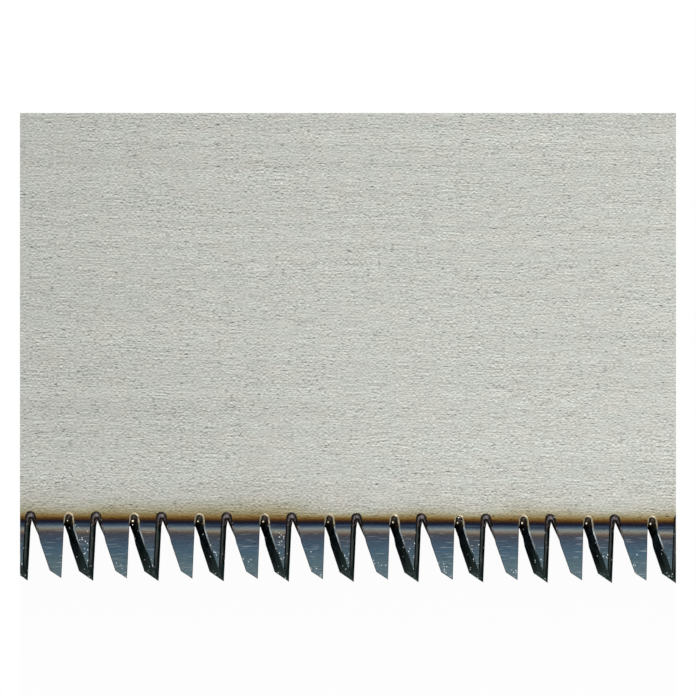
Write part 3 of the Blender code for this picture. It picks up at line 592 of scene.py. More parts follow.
def oil_blackened_steel(name, dark, light, roughness):
    """Drawn steel, blackened hot and oiled: nearly black, with faint clouds and fine drawing lines."""
    material, tree, shader = new_finish(name, 1.0, roughness)
    spot = saw_place(tree)
    clouds = grain(tree, spot, (4.0, 2.5, 2.5), 4.0, 0.6)
    lines = grain(tree, spot, (9.0, 0.2, 0.2), 1.0)
    tone = add(tree, "Math", (lines, 0.5, clouds), operation="MULTIPLY_ADD")
    colour = add(tree, "ValToRGB", (tone,), [(0.5, dark), (1.0, light)])
    gloss = add(tree, "MapRange", (clouds, *NOISE_SPAN, roughness - 0.08, roughness + 0.08))
    relief = add(tree, "Bump", {"Height": lines, "Strength": 0.2, "Distance": LINE_DEPTH})
    return finished(material, shader, colour, relief, gloss)


RING_WIDTH = 1.9  # millimetres between growth rings
RING_WANDER = 2.4  # rings
RING_SLOPE = 0.012  # of the rings against the length of the handle
PORE_LEVELS = (0.24, 0.31)  # of noise, from open to closed
PORE_TONE = 0.72
CUT_END_TONE = 0.74
FIBRE_DEPTH = 0.05 * MM
PITH_UPPER = (52.0, 31.0)  # where the heart of the tree was, in millimetres of y and z
PITH_LOWER = (-47.0, 24.0)


def planed_cypress(name, pith):
    """Bare cypress, planed lengthwise: narrow straight rings, each pale with a thin amber late line.

    Short fine streaks are its fibres. Cut ends and the places that the hand holds are darker.
    """
    material, tree, shader = new_finish(name, 0.0, 0.5)
    spot = saw_place(tree)
    bent = add(tree, "Mapping", {"Vector": spot, "Location": (0, *(-side for side in pith))})
    across = add(tree, "VectorMath", (bent, (RING_SLOPE, 1.0, 1.0)), operation="MULTIPLY")
    radius = add(tree, "VectorMath", (across,), output="Value", operation="LENGTH")
    wander = grain(tree, spot, (120.0, 12.0, 12.0), 2.0)
    count = add(tree, "Math", (radius, 1 / RING_WIDTH), operation="MULTIPLY")
    count = add(tree, "Math", (wander, RING_WANDER, count), operation="MULTIPLY_ADD")
    ring = add(tree, "Math", (count,), operation="FRACT")
    colour = add(tree, "ValToRGB", (ring,), [
        (0.0, "#E2C194"), (0.5, "#DFBC8D"), (0.78, "#D6AE7A"),
        (0.89, "#C69560"), (0.95, "#CDA06C"), (1.0, "#E2C194"),
    ])
    fibres = grain(tree, spot, (16.0, 0.35, 0.35), 2.0)
    streak = add(tree, "MapRange", (fibres, *NOISE_SPAN, 0.86, 1.08))
    pores = grain(tree, spot, (5.0, 0.22, 0.22), 1.0)
    pores = add(tree, "MapRange", (pores, *PORE_LEVELS, PORE_TONE, 1.0))
    stains = grain(tree, spot, (70.0, 18.0, 18.0), 3.0)
    held = add(tree, "ValToRGB", (stains,), [(0.35, "#FFFFFF"), (0.7, "#EEDFCB")])
    normal = add(tree, "NewGeometry", output="Normal")
    facing = add(tree, "SeparateXYZ", {"Vector": normal}, output="X")
    facing = add(tree, "Math", (facing,), operation="ABSOLUTE")
    cut_end = add(tree, "MapRange", (facing, 0.5, 0.9, 1.0, CUT_END_TONE))
    colour = toned(tree, colour, streak, pores, held, cut_end)
    gloss = add(tree, "MapRange", (fibres, *NOISE_SPAN, 0.58, 0.44))
    relief = add(tree, "Bump", {"Height": streak, "Strength": 0.2, "Distance": FIBRE_DEPTH})
    return finished(material, shader, colour, relief, gloss)


CANE_JOINT = 330.0  # millimetres of cane between two joints of the plant
GROOVE_SHADE = 0.55
SCAR_TONE = 0.55
CANE_FIBRE_DEPTH = 0.06 * MM
SCAR_DEPTH = 0.10 * MM
SCAR_WANDER = 1.6


def cane_skin(name):
    """Split rattan with its own glossy skin: golden, with fibres along the strip.

    The strip has painted shade towards its edges, in the grooves between its turns, and a dark scar crosses
    it at each joint.
    """
    material, tree, shader = new_finish(name, 0.0, 0.34)
    shader.inputs["Coat Weight"].default_value = 0.4
    shader.inputs["Coat Roughness"].default_value = 0.15
    spot = add(tree, "Mapping", {"Vector": add(tree, "UVMap"), "Scale": [1 / MM] * 3})
    fibres = grain(tree, spot, (26.0, 0.30, 1.0), 3.0)
    patches = grain(tree, spot, (60.0, 9.0, 1.0), 2.0)
    tone = add(tree, "Math", (patches, 0.9, fibres), operation="MULTIPLY_ADD")
    colour = add(tree, "ValToRGB", (tone,), [
        (0.62, "#B07A38"), (0.85, "#CE9C55"), (1.0, "#DAB06B"), (1.0, "#E6C68B"),
    ])
    length = add(tree, "SeparateXYZ", {"Vector": spot}, output="X")
    side = add(tree, "Math", (length.node.outputs["Y"],), operation="ABSOLUTE")
    # painted shade on the strip's edges, where it dips into the grooves between its turns
    groove = add(tree, "MapRange", (side, 1.35, 2.1, 1.0, GROOVE_SHADE))
    uneven = grain(tree, spot, (1.0, 0.5, 1.0), 2.0)
    place = add(tree, "Math", (uneven, SCAR_WANDER, length), operation="MULTIPLY_ADD")
    place = add(tree, "Math", (place, CANE_JOINT), operation="PINGPONG")
    scar = add(tree, "MapRange", (place, 0.25, 0.65, SCAR_TONE, 1.0))
    gloss = add(tree, "MapRange", (fibres, *NOISE_SPAN, 0.42, 0.28))
    relief = add(tree, "Bump", {"Height": fibres, "Strength": 0.25, "Distance": CANE_FIBRE_DEPTH})
    ridges = {"Height": scar, "Normal": relief, "Strength": 0.4, "Distance": SCAR_DEPTH}
    relief = add(tree, "Bump", ridges)
    return finished(material, shader, toned(tree, colour, groove, scar), relief, gloss)


# Pieces


def new_piece(name, bm, finishes):
    mesh = bpy.data.meshes.new(name)
    bm.to_mesh(mesh)
    bm.free()
    for finish in finishes:
        mesh.materials.append(finish)
    piece = bpy.data.objects.new(name, mesh)
    bpy.context.scene.collection.objects.link(piece)
    return piece


def put_in_place(name, bm, finishes, body, node, smooth=True):
    """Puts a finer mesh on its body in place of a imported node, shaded smoothly or face by face."""
    piece = new_piece(name, bm, finishes)
    if smooth:
        piece.data.set_sharp_from_angle(angle=EDGE_ANGLE)
    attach(piece, body)
    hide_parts(node)
    return piece


def lofted(rings, bored=False):
    """A closed skin through rings of equally many points; a bored one joins its last ring to its first."""
    bm = bmesh.new()
    loops = [[bm.verts.new(point) for point in ring] for ring in rings]
    following = loops[1:] + loops[:1] if bored else loops[1:]
    for loop, after in zip(loops, following):
        for j, vertex in enumerate(loop):
            bm.faces.new((loop[j - 1], vertex, after[j], after[j - 1]))
    if not bored:
        bm.faces.new(loops[0])
        bm.faces.new(loops[-1])
    bmesh.ops.recalc_face_normals(bm, faces=bm.faces)
    return bm


# Blade


def on_blade(along, depth, height):
    """Point at a distance along the toothed edge and a depth below its root line."""
    return Vector((*(TOE + along * ALONG - depth * ACROSS), PIN.z + height))


def arc(centre, radius, start, end, steps):
    angles = [start + (end - start) * i / steps for i in range(steps + 1)]
    return [centre + radius * Vector((math.cos(a), math.sin(a))) for a in angles]


def rounded(corners):
    """Points of an outline given as (point, radius) corners; a radius of 0 keeps a corner sharp."""
    points = []
    for i, (corner, radius) in enumerate(corners):
        if radius == 0:
            points.append(corner)
            continue
        back = (corners[i - 1][0] - corner).normalized()
        ahead = (corners[(i + 1) % len(corners)][0] - corner).normalized()
        half = back.angle(ahead) / 2
        centre = corner + (back + ahead).normalized() * radius / math.sin(half)
        first = corner + back * radius / math.tan(half) - centre
        last = corner + ahead * radius / math.tan(half) - centre
        turn = first.angle_signed(last)
        start = math.atan2(first.y, first.x)
        points += arc(centre, radius, start, start - turn, max(2, round(abs(turn) / FILLET_STEP)))
    return points


def plain_edge():
    """Outline of the blade from the heel round the tang and the spine to the toe."""
    pin, screw = PIN.xy, SCREW.xy
    heel = rounded([
        (HEEL - HEEL_LAND * ALONG, 0),
        (HEEL, CHIN_RADIUS),
        (Vector((HEEL.x, TANG_EDGE)), HEEL_FILLET),
        (Vector((pin.x - PIN_NOTCH_RADIUS, TANG_EDGE)), 0),
    ])[1:-1]
    before = Vector((pin.x - PIN_NOTCH_RADIUS - MOUTH_RADIUS, TANG_EDGE + MOUTH_RADIUS))
    behind = Vector((pin.x + PIN_NOTCH_RADIUS + MOUTH_RADIUS, TANG_EDGE + MOUTH_RADIUS))
    notch = arc(before, MOUTH_RADIUS, -math.pi / 2, 0, ROUND_STEPS)
    notch += arc(pin, PIN_NOTCH_RADIUS, math.pi, 0, 2 * ROUND_STEPS)
    notch += arc(behind, MOUTH_RADIUS, math.pi, 1.5 * math.pi, ROUND_STEPS)
    tip = Vector((pin.x + HOOK_REACH - HOOK_TIP_RADIUS, TANG_EDGE + HOOK_TIP_RADIUS))
    hook = arc(tip, HOOK_TIP_RADIUS, -math.pi / 2, 0, ROUND_STEPS)
    hook += arc(pin, SPINE_ABOVE_PIN, math.acos(HOOK_REACH / SPINE_ABOVE_PIN), math.pi / 2, ROUND_STEPS)
    arm = screw - pin
    seat = math.atan2(arm.y, arm.x)
    inner, outer = arm.length - SCREW_NOTCH_RADIUS, arm.length + SCREW_NOTCH_RADIUS
    slot = arc(pin, inner, math.pi - math.asin(SPINE_ABOVE_PIN / inner), seat, ROUND_STEPS)
    slot += arc(screw, SCREW_NOTCH_RADIUS, seat + math.pi, seat, 2 * ROUND_STEPS)[1:-1]
    slot += arc(pin, outer, seat, math.pi - math.asin(SPINE_ABOVE_PIN / outer), ROUND_STEPS)
    toe = rounded([
        (Vector((screw.x, SPINE)), 0),
        (Vector((TOE.x, SPINE)), TOE_CORNER),
        (TOE, TOE_NOSE),
        (TOE + TOE_LAND * ALONG, 0),
    ])[1:-1]
    return heel + notch + hook + slot + toe


def tooth_start(index):
    """Where the back of a tooth starts on the root line; odd teeth have their flat face up."""
    return TOE_LAND + index * TOOTH_PITCH + (BACK_START_UP if index % 2 else BACK_START_DOWN)


def tooth_face(index, bevelled, burr):
    """One face of a tooth, or with burr 1 the line where the burr along its edges ends.

    The points are three down its back, its shoulder, its tip and the root of its front.
    """
    front_cut, back_cut, tip_cut = (FRONT_BEVEL, BACK_BEVEL, TIP_BEVEL) if bevelled else (0, 0, 0)
    width = burr * (BEVEL_BURR if bevelled else FLAT_BURR)
    back, front = tooth_start(index) + back_cut, TOE_LAND + (index + 1) * TOOTH_PITCH
    reach = front - TOOTH_DEPTH * FRONT_LEAN - back
    start, end = back - width, front - front_cut + width
    limit = (end - start - LEAST_LAND) / (FRONT_LEAN + BACK_LEAN)
    tip = TOOTH_DEPTH - (tip_cut + front_cut * TIP_SLOPE) / (1 + FRONT_LEAN * TIP_SLOPE)
    shoulder = (TOOTH_DEPTH - tip_cut - reach * TIP_SLOPE) / (1 - BACK_LEAN * TIP_SLOPE)
    tip, shoulder = min(limit, tip + width), min(limit, shoulder + width)

    run = POCKET_RUN_BEVEL if bevelled else POCKET_RUN_FLAT
    kind = "deep" if bevelled else "open"
    rise = POCKET_RISE[kind]
    pocket = pocket_left(index, kind) + 2 * POCKET_RADIUS[kind] - burr * POCKET_BURR
    run_out = start + run * BACK_LEAN

    def back_edge(depth):
        """The side of the pocket, and from its run-out on the back of the tooth."""
        if depth >= run:
            return start + depth * BACK_LEAN, depth
        return run_out + (pocket - run_out) * (run - depth) / (run + rise), depth

    return [
        back_edge(BEND_DEPTH),
        back_edge(min(run, RIDGE_KNEE)),
        back_edge(max(run, RIDGE_KNEE)),
        (start + shoulder * BACK_LEAN, shoulder),
        (end - tip * FRONT_LEAN, tip),
        (end - BEND_DEPTH * FRONT_LEAN, BEND_DEPTH),
    ]


def pocket_left(index, kind):
    """Where the pocket behind a tooth's back starts, on the line of its neighbour's front."""
    front_cut = FRONT_BEVEL if kind == "open" else 0
    return TOE_LAND + index * TOOTH_PITCH - front_cut + POCKET_RISE[kind] * FRONT_LEAN


def arch(centre, radius):
    """Points over the top of a pocket or a ridge, whose centre is given as (along, depth)."""
    along, depth = centre
    return [(p.x, -p.y) for p in arc(Vector((along, -depth)), radius, math.pi, 0, ARCH_STEPS)]


def pocket_arch(index, kind, burr):
    radius = POCKET_RADIUS[kind]
    centre = (pocket_left(index, kind) + radius, -POCKET_RISE[kind])
    return arch(centre, radius - burr * POCKET_BURR)


def ridge_top(index):
    """Centre of the ridge's top in the gullet behind a tooth's back."""
    return TOE_LAND + index * TOOTH_PITCH + RIDGE_SHIFT, RIDGE_DROP["open" if index % 2 else "deep"]


def tooth_middle(index):
    """The tooth halfway through the plate, with the ridges of the gullets beside it."""
    faces = zip(tooth_face(index, True, 0), tooth_face(index, False, 0))
    *_, shoulder, tip, front = [((a + c) / 2, (b + d) / 2) for (a, b), (c, d) in faces]
    start = tooth_start(index)
    knee = start + (RIDGE_PROUD if index % 2 else 0) + RIDGE_KNEE * BACK_LEAN
    run_out = start + BACK_BEVEL / 2 + RIDGE_RUN * BACK_LEAN
    top, drop = ridge_top(index)
    side, depth = top + RIDGE_RADIUS, max(BEND_DEPTH, drop + RIDGE_RADIUS)
    root = side + (knee - side) * (depth - drop) / (RIDGE_KNEE - drop)
    return [(root, depth), (knee, RIDGE_KNEE), (run_out, RIDGE_RUN), shoulder, tip, front]


def toothed_layers():
    """The toothed edge on five layers: a face, the end of its burr, the middle, and the same below."""
    half = PLATE_THICKNESS / 2
    layers = (
        (half, True, 0),
        (half - BURR_DROP, True, 1),
        (0, None, 0),
        (BURR_DROP - half, False, 1),
        (-half, False, 0),
    )
    loops = []
    for height, upper, burr in layers:
        loop = []
        for i in range(TOOTH_COUNT):
            flat_up = bool(i % 2)
            if upper is None:
                points, gullet = tooth_middle(i), arch(ridge_top(i + 1), RIDGE_RADIUS)
            else:
                bevelled = flat_up != upper
                kind = "open" if bevelled else "deep"
                points, gullet = tooth_face(i, bevelled, burr), pocket_arch(i + 1, kind, burr)
            if i + 1 < TOOTH_COUNT:
                points = points + gullet
            for along, depth in points:
                bend = max(0.0, depth - BEND_DEPTH) / (TOOTH_DEPTH - BEND_DEPTH)
                offset = TOOTH_SET * bend * (1 if flat_up else -1)
                loop.append(on_blade(along, depth, height + offset))
        loops.append(loop)
    return loops


def plain_layers():
    """The rest of the outline on the same layers, its edges broken a little."""
    outline = plain_edge()
    half = PLATE_THICKNESS / 2
    inset = []
    for i, point in enumerate(outline):
        ahead = outline[min(i + 1, len(outline) - 1)] - outline[max(i - 1, 0)]
        inset.append(point + Vector((-ahead.y, ahead.x)).normalized() * PLATE_EDGE_BREAK)
    heights = (half, half - PLATE_EDGE_BREAK, 0, PLATE_EDGE_BREAK - half, -half)
    lines = (inset, outline, outline, outline, inset)
    return [[Vector((*p, PIN.z + z)) for p in line] for line, z in zip(lines, heights)]


(PLATE, LAND, BACK, TIP, FRONT, DEEP_POCKET, OPEN_POCKET, POCKET_LEG, LEG_BURR,
 DEEP_RIM, OPEN_RIM, BACK_BURR, FRONT_BURR, FLAT_EDGE, PLAIN_EDGE) = range(15)


def blade_finishes():
    """Finishes of the blade, in the order of the slots above."""
    return (
        ground_blade_steel("ground_tool_steel", "#FFFDFF", 0.0, 0.0),
        ground_blade_steel("heated_tooth_land", "#F8EEE8", 0.08, 0.2),
        scaled_steel("black_back_scale", "#0B0F11", "#1A2224", (0.25, 0.25, 0.2), 0.30, 0.06,
                     below=(-1.4, -2.7, "#28312F")),
        scaled_steel("grey_tip_scale", "#1C2424", "#3E4846", (0.15, 0.15, 0.2), 0.30, 0.3),
        scaled_front_steel("dark_front_scale", "#0E1313", "#4C5452"),
        # deep pockets: dark heat scale, with painted shade deep inside and a painted glint on the wall
        scaled_steel("deep_pocket_scale_painted_shade_glint", "#171510", "#3A342C", (0.1, 0.1, 0.1), 0.35, 0.08,
                     tones=SHADE_INSIDE, glint=PAINTED_GLINT),
        # open pockets and their legs: colours raised and striped as painted highlight and shade
        scaled_steel("open_pocket_painted_highlight_and_shade", "#6A605F", "#AFA5A6", (0.12, 0.08, 0.1), 0.35,
                     tones=POCKET_HIGHLIGHT_AND_SHADE),
        scaled_steel("pocket_leg_painted_highlight_and_shade", "#A8A0A0", "#E6DEDE", (0.12, 0.12, 0.1), 0.35,
                     tones=POCKET_HIGHLIGHT_AND_SHADE),
        scaled_steel("leg_burr_painted_highlight", "#8A8282", "#C6BEBE", (0.12, 0.12, 0.1), 0.35,
                     tones=BURR_HIGHLIGHT),
        # rims of the pockets: a painted highlight on the deep ones and painted shade on the open ones
        scaled_steel("deep_rim_painted_highlight", "#8C7F66", "#C6BAA0", (0.15, 0.15, 0.1), 0.50,
                     below=(-0.15, -0.4, "#3A3836")),
        scaled_steel("open_rim_painted_shade", "#121314", "#37332E", (0.15, 0.15, 0.1), 0.35),
        # back burr: a painted highlight, as of a rounded rim catching light, fading to dark towards the
        # tips
        scaled_steel("back_burr_painted_highlight", "#667074", "#BAC4C6", (0.4, 0.4, 0.1), 0.35,
                     below=(-0.9, -1.8, "#232B2C")),
        scaled_steel("dark_front_burr", "#0B0F0F", "#1F2525", (0.4, 0.4, 0.1), 0.35),
        scaled_steel("dark_flat_edge", "#1A2126", "#3E4850", (0.3, 0.3, 0.1), 0.35),
        scaled_steel("sheared_edge_steel", "#8E908C", "#B9BAB5", (0.4, 0.4, 0.05), 0.40),
    )


def make_blade():
    size = len(tooth_middle(0))
    step = size + ARCH_STEPS + 1
    toothed = TOOTH_COUNT * step - ARCH_STEPS - 1
    bm = bmesh.new()
    loops = []
    for teeth, plain in zip(toothed_layers(), plain_layers()):
        loops.append([bm.verts.new(p) for p in teeth + plain])

    def wall_slot(strip, j):
        """Finish of the wall between point j - 1 and point j of a strip, counted from the upper face."""
        if j == 0 or j >= toothed:
            return PLAIN_EDGE
        tooth, place = divmod(j, step)
        upper, burr = strip < 2, strip in (0, 3)  # the burrs are on the outer two of the four strips
        bevelled = (tooth % 2 == 0) == upper
        if BACK_POINTS <= place < size:
            if burr:
                return (BACK_BURR, TIP, FRONT_BURR)[place - BACK_POINTS] if bevelled else FLAT_EDGE
            return (BACK, TIP, FRONT)[place - BACK_POINTS]
        deep = bevelled if place < BACK_POINTS else not bevelled
        if 0 < place < BACK_POINTS:
            if burr:
                return BACK_BURR if deep else LEG_BURR
            return POCKET_LEG if place == 1 and not deep else BACK
        if burr:
            return DEEP_RIM if deep else OPEN_RIM
        if deep:
            return DEEP_POCKET
        return OPEN_POCKET if place else POCKET_LEG

    for strip, (upper, lower) in enumerate(zip(loops, loops[1:])):
        for j, vertex in enumerate(upper):
            face = bm.faces.new((upper[j - 1], vertex, lower[j], lower[j - 1]))
            face.material_index = wall_slot(strip, j)
    starts = range(0, toothed, step)
    bent = {start + n for start in starts for n in range(1, size - 1)}
    for loop, upper in ((loops[0], True), (loops[-1], False)):
        bm.faces.new([vertex for j, vertex in enumerate(loop) if j not in bent]).material_index = PLATE
        for i, start in enumerate(starts):
            land = bm.faces.new(loop[start : start + size])
            land.material_index = LAND if (i % 2 == 0) == upper else PLATE
    bmesh.ops.recalc_face_normals(bm, faces=bm.faces)
    put_in_place("saw_blade", bm, blade_finishes(), "blade", "blade", smooth=False)


# Winding


def handle_section(x, inset):
    """Points and normals round the handle, from under its middle; x starts at the ferrule's mouth."""
    width = HANDLE_WIDTH_FRONT + (HANDLE_WIDTH_BUTT - HANDLE_WIDTH_FRONT) * x / HANDLE_LENGTH
    side, rise = width / 2 - HANDLE_CORNER, HANDLE_HALF - HANDLE_CORNER
    radius = HANDLE_CORNER - inset
    round_points = []
    for quarter, centre in enumerate(((side, -rise), (side, rise), (-side, rise), (-side, -rise))):
        start = (quarter - 1) * math.pi / 2
        for normal in arc(Vector((0, 0)), 1, start, start + math.pi / 2, CORNER_STEPS):
            round_points.append((Vector(centre) + radius * normal, normal))
    under = (Vector((0, inset - HANDLE_HALF)), Vector((0, -1)))
    points = [under]
    for point, normal in [*round_points, under]:
        last = points[-1][0]
        if normal == points[-1][1] and (point - last).length > 0:
            for n in range(1, FLAT_STEPS):
                share = n / FLAT_STEPS
                points.append((last.lerp(point, share), normal))
        points.append((point, normal))
    return points


def cane_height(share):
    """Height of the cane's round side across its width; share runs from 0 to 1."""
    return CANE_THICKNESS * math.sin(math.pi * share) ** CANE_FULLNESS


def winding_path():
    """Places along the strip as (point, normal, length so far)."""
    first = SEAT_START + WRAP_END_GAP + CANE_WIDTH / 2
    loop = [point for point, _ in handle_section(first, SEAT_INSET)]
    lengths = [0.0]
    for a, b in zip(loop, loop[1:]):
        lengths.append(lengths[-1] + (b - a).length)
    path = []
    for turn in range(WRAP_TURNS):
        for j, length in enumerate(lengths):
            if j == len(lengths) - 1 and turn < WRAP_TURNS - 1:
                continue
            x = first + WRAP_PITCH * (turn + length / lengths[-1])
            point, normal = handle_section(x, SEAT_INSET)[j]
            path.append((Vector((x, *point)), Vector((0, *normal)), turn * lengths[-1] + length))
    return path


def make_winding():
    """One strip of split cane with a round skin side, wound over its seat and pared thin at both ends."""
    path = winding_path()
    total = path[-1][2]
    shares = [i / CANE_STEPS for i in range(CANE_STEPS + 1)]
    rings, unrolled = [], []
    for point, normal, length in path:
        pared = min(1.0, CANE_END + (1 - CANE_END) * min(length, total - length) / CANE_TAPER)
        ring = []
        for share in shares:
            side = -math.cos(math.pi * share) * CANE_WIDTH / 2
            ring.append(MOUTH + point + Vector((side, 0, 0)) + normal * cane_height(share) * pared)
            unrolled.append((length, side))
        rings.append(ring)
    bm = lofted(rings)
    bm.verts.index_update()
    layer = bm.loops.layers.uv.new("UVMap")
    for face in bm.faces:
        for corner in face.loops:
            corner[layer].uv = unrolled[corner.vert.index]
    put_in_place("cane_winding", bm, [cane_skin("split_cane_skin")], "handle", "rattan_wrap")


# Fasteners


def angles(steps):
    return [2 * math.pi * i / steps for i in range(steps)]


def around(axis, angle, radius, height):
    return axis + Vector((radius * math.cos(angle), radius * math.sin(angle), height))


def turned_rings(axis, profile):
    """Rings about an upright axis from a profile of (radius, height)."""
    return [[around(axis, a, radius, height) for a in angles(TURN_STEPS)] for radius, height in profile]


def rivet_profile(radius, head_radius, head_height, grip):
    """Profile of a rivet with a domed head at each end of its grip."""
    sphere = (head_radius**2 + head_height**2) / (2 * head_height)
    centre = Vector((0, grip / 2 + head_height - sphere))
    rim = math.pi / 2 - math.asin(head_radius / sphere)
    top = math.pi / 2 - (math.pi / 2 - rim) / DOME_STEPS / 2
    upper = [tuple(p) for p in arc(centre, sphere, top, rim, DOME_STEPS)] + [(radius, grip / 2)]
    return upper + [(r, -z) for r, z in reversed(upper)]


def washer_profile():
    """Profile of the washer, its two outer edges rounded."""
    middle = Vector((WASHER_RADIUS - WASHER_EDGE, WASHER_BOTTOM + WASHER_EDGE))
    rise = Vector((0, WASHER_THICKNESS - 2 * WASHER_EDGE))
    outer = arc(middle, WASHER_EDGE, -math.pi / 2, 0, ROUND_STEPS)
    outer += arc(middle + rise, WASHER_EDGE, 0, math.pi / 2, ROUND_STEPS)
    top = WASHER_BOTTOM + WASHER_THICKNESS
    return [(BORE_RADIUS, top), (BORE_RADIUS, WASHER_BOTTOM), *(tuple(p) for p in outer)]


def nut_rings():
    """Hexagon nut, its lower corners turned off; from the bore below over the outside to the bore above."""
    bottom = NUT_TOP - NUT_HEIGHT
    flats = []
    for a in angles(TURN_STEPS):
        radius = NUT_FLAT / math.cos((a + math.pi / 6) % (math.pi / 3) - math.pi / 6)
        flats.append((a, radius, bottom + (radius - NUT_FLAT) * NUT_CHAMFER))
    return [
        *turned_rings(SCREW, [(BORE_RADIUS, bottom), (NUT_FLAT, bottom)]),
        [around(SCREW, a, radius, height) for a, radius, height in flats],
        [around(SCREW, a, radius, NUT_TOP) for a, radius, _ in flats],
        *turned_rings(SCREW, [(BORE_RADIUS, NUT_TOP)]),
    ]


def knurled_ring(radius, height, groove):
    """Ring of the screw's head: round crests between sharp grooves."""
    ring = []
    for a in angles(KNURL_STEPS):
        depth = groove * (1 - abs(math.cos(KNURL_COUNT * a / 2)))
        ring.append(around(SCREW, a, radius - depth, height))
    return ring


def thread_rings():
    """Rings up the thread, from the end of the screw to where it runs out under the head."""
    low = SCREW_END + SCREW_END_CHAMFER
    rows = round((SCREW_UNDER - low) / THREAD_PITCH * THREAD_STEPS)
    rings = []
    for row in range(rows + 1):
        height = low + (SCREW_UNDER - low) * row / rows
        depth = THREAD_DEPTH * min(1.0, (SCREW_UNDER - height) / THREAD_PITCH)
        ring = []
        for a in angles(KNURL_STEPS):
            phase = (height / THREAD_PITCH - a / (2 * math.pi)) % 1.0
            ring.append(around(SCREW, a, SCREW_RADIUS - depth * abs(2 * phase - 1), height))
        rings.append(ring)
    return rings


def make_clamp_screw(brass):
    head = SCREW_HEAD_RADIUS - SCREW_HEAD_CHAMFER
    bm = lofted([
        knurled_ring(SCREW_RADIUS - SCREW_END_CHAMFER, SCREW_END, 0),
        *thread_rings(),
        knurled_ring(head, SCREW_UNDER, 0),
        knurled_ring(SCREW_HEAD_RADIUS, SCREW_UNDER + SCREW_HEAD_CHAMFER, KNURL_DEPTH),
        knurled_ring(SCREW_HEAD_RADIUS, SCREW_TOP - SCREW_HEAD_CHAMFER, KNURL_DEPTH),
        knurled_ring(head, SCREW_TOP, 0),
    ])
    screw = put_in_place("knurled_screw", bm, [brass], "clamp_screw", "clamp_screw")
    size = (3 * SCREW_HEAD_RADIUS, COIN_SLOT_WIDTH, 2 * COIN_SLOT_DEPTH, 1)
    place = Matrix.Translation(SCREW + Vector((0, 0, SCREW_TOP))) @ Matrix.Diagonal(size)
    saw_cut = bmesh.new()
    bmesh.ops.create_cube(saw_cut, size=1, matrix=place)
    cutter = new_piece("coin_slot", saw_cut, [brass])
    slot = screw.modifiers.new("coin_slot", "BOOLEAN")
    slot.object = cutter
    cut = screw.evaluated_get(bpy.context.evaluated_depsgraph_get())
    screw.data = bpy.data.meshes.new_from_object(cut)
    screw.data.set_sharp_from_angle(angle=EDGE_ANGLE)
    screw.modifiers.remove(slot)
    bpy.data.objects.remove(cutter)


def make_fasteners():
    rivet_axis = MOUTH + Vector((FERRULE_RIVET_SETBACK, 0, 0))
    nickel = {
        name: turned_metal(f"turned_nickel_{name}", axis, "#8F8D87", "#D3D1CA", 0.30)
        for name, axis in (("pin", PIN), ("screw", SCREW), ("rivet", rivet_axis))
    }
    profile = rivet_profile(PIN_RADIUS, PIN_HEAD_RADIUS, PIN_HEAD_HEIGHT, PIN_GRIP)
    pin = lofted(turned_rings(PIN, profile))
    profile = rivet_profile(RIVET_RADIUS, RIVET_HEAD_RADIUS, RIVET_HEAD_HEIGHT, RIVET_GRIP)
    rivet = lofted(turned_rings(rivet_axis, profile))
    washer = lofted(turned_rings(SCREW, washer_profile()), True)
    nut = lofted(nut_rings(), True)
    for name, bm, finish, body, node in (
        ("domed_pin", pin, "pin", "handle", "hook_pin"),
        ("domed_rivet", rivet, "rivet", "handle", "ferrule_rivet"),
        ("turned_washer", washer, "screw", "screw_washer", "screw_washer"),
        ("chamfered_nut", nut, "screw", "handle", "weld_nut"),
    ):
        put_in_place(name, bm, [nickel[finish]], body, node)
    brass = turned_metal("turned_brass", SCREW, "#8A6A2E", "#DDBB6C", 0.28, SCREW_HEAD_RADIUS / MM)
    make_clamp_screw(brass)


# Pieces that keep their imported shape

EDGE_SEGMENTS = 3
WELD_DISTANCE = 0.001 * MM
SHEET_EDGE = 0.25 * MM  # width of the broken edges
SPACER_EDGE = 0.08 * MM
RIVET_EDGE = 0.15 * MM
FERRULE_EDGE = 0.12 * MM
WOOD_EDGE = 0.3 * MM


def dress(name, finish, edge_finish, edge):
    """Gives a piece its finish, and breaks its sharp edges by a small round with the finish of wear."""
    piece = frame["nodes"][name]
    piece.data.materials.clear()
    piece.data.materials.append(finish)
    piece.data.materials.append(edge_finish)
    weld = piece.modifiers.new("weld", "WELD")
    weld.merge_threshold = WELD_DISTANCE
    bevel = piece.modifiers.new("broken_edges", "BEVEL")
    bevel.width = edge
    bevel.segments = EDGE_SEGMENTS
    bevel.limit_method = "ANGLE"
    bevel.angle_limit = EDGE_ANGLE
    bevel.material = 1
    piece.modifiers.new("even_shading", "WEIGHTED_NORMAL").keep_sharp = True


def dress_all():
    bright_edge = brushed_nickel("worn_nickel_edge", "#C9C7C0", "#E4E2DC", 0.22)
    sheet = brushed_nickel("brushed_nickel_plate", "#A3A19B", "#D0CEC8", 0.32)
    dress("head_channel", sheet, bright_edge, SHEET_EDGE)
    dress("shank_spacer", sheet, bright_edge, SPACER_EDGE)
    for rivet in ("tang_rivet_1", "tang_rivet_2"):
        dress(rivet, sheet, bright_edge, RIVET_EDGE)
    black = oil_blackened_steel("oil_blackened_steel", "#17181A", "#34363A", 0.40)
    rubbed = oil_blackened_steel("rubbed_black_edge", "#4A4C50", "#85878B", 0.32)
    dress("ferrule", black, rubbed, FERRULE_EDGE)
    for half, pith in (("upper", PITH_UPPER), ("lower", PITH_LOWER)):
        wood = planed_cypress(f"planed_cypress_{half}", pith)
        dress(f"handle_{half}", wood, wood, WOOD_EDGE)


# Camera and studio


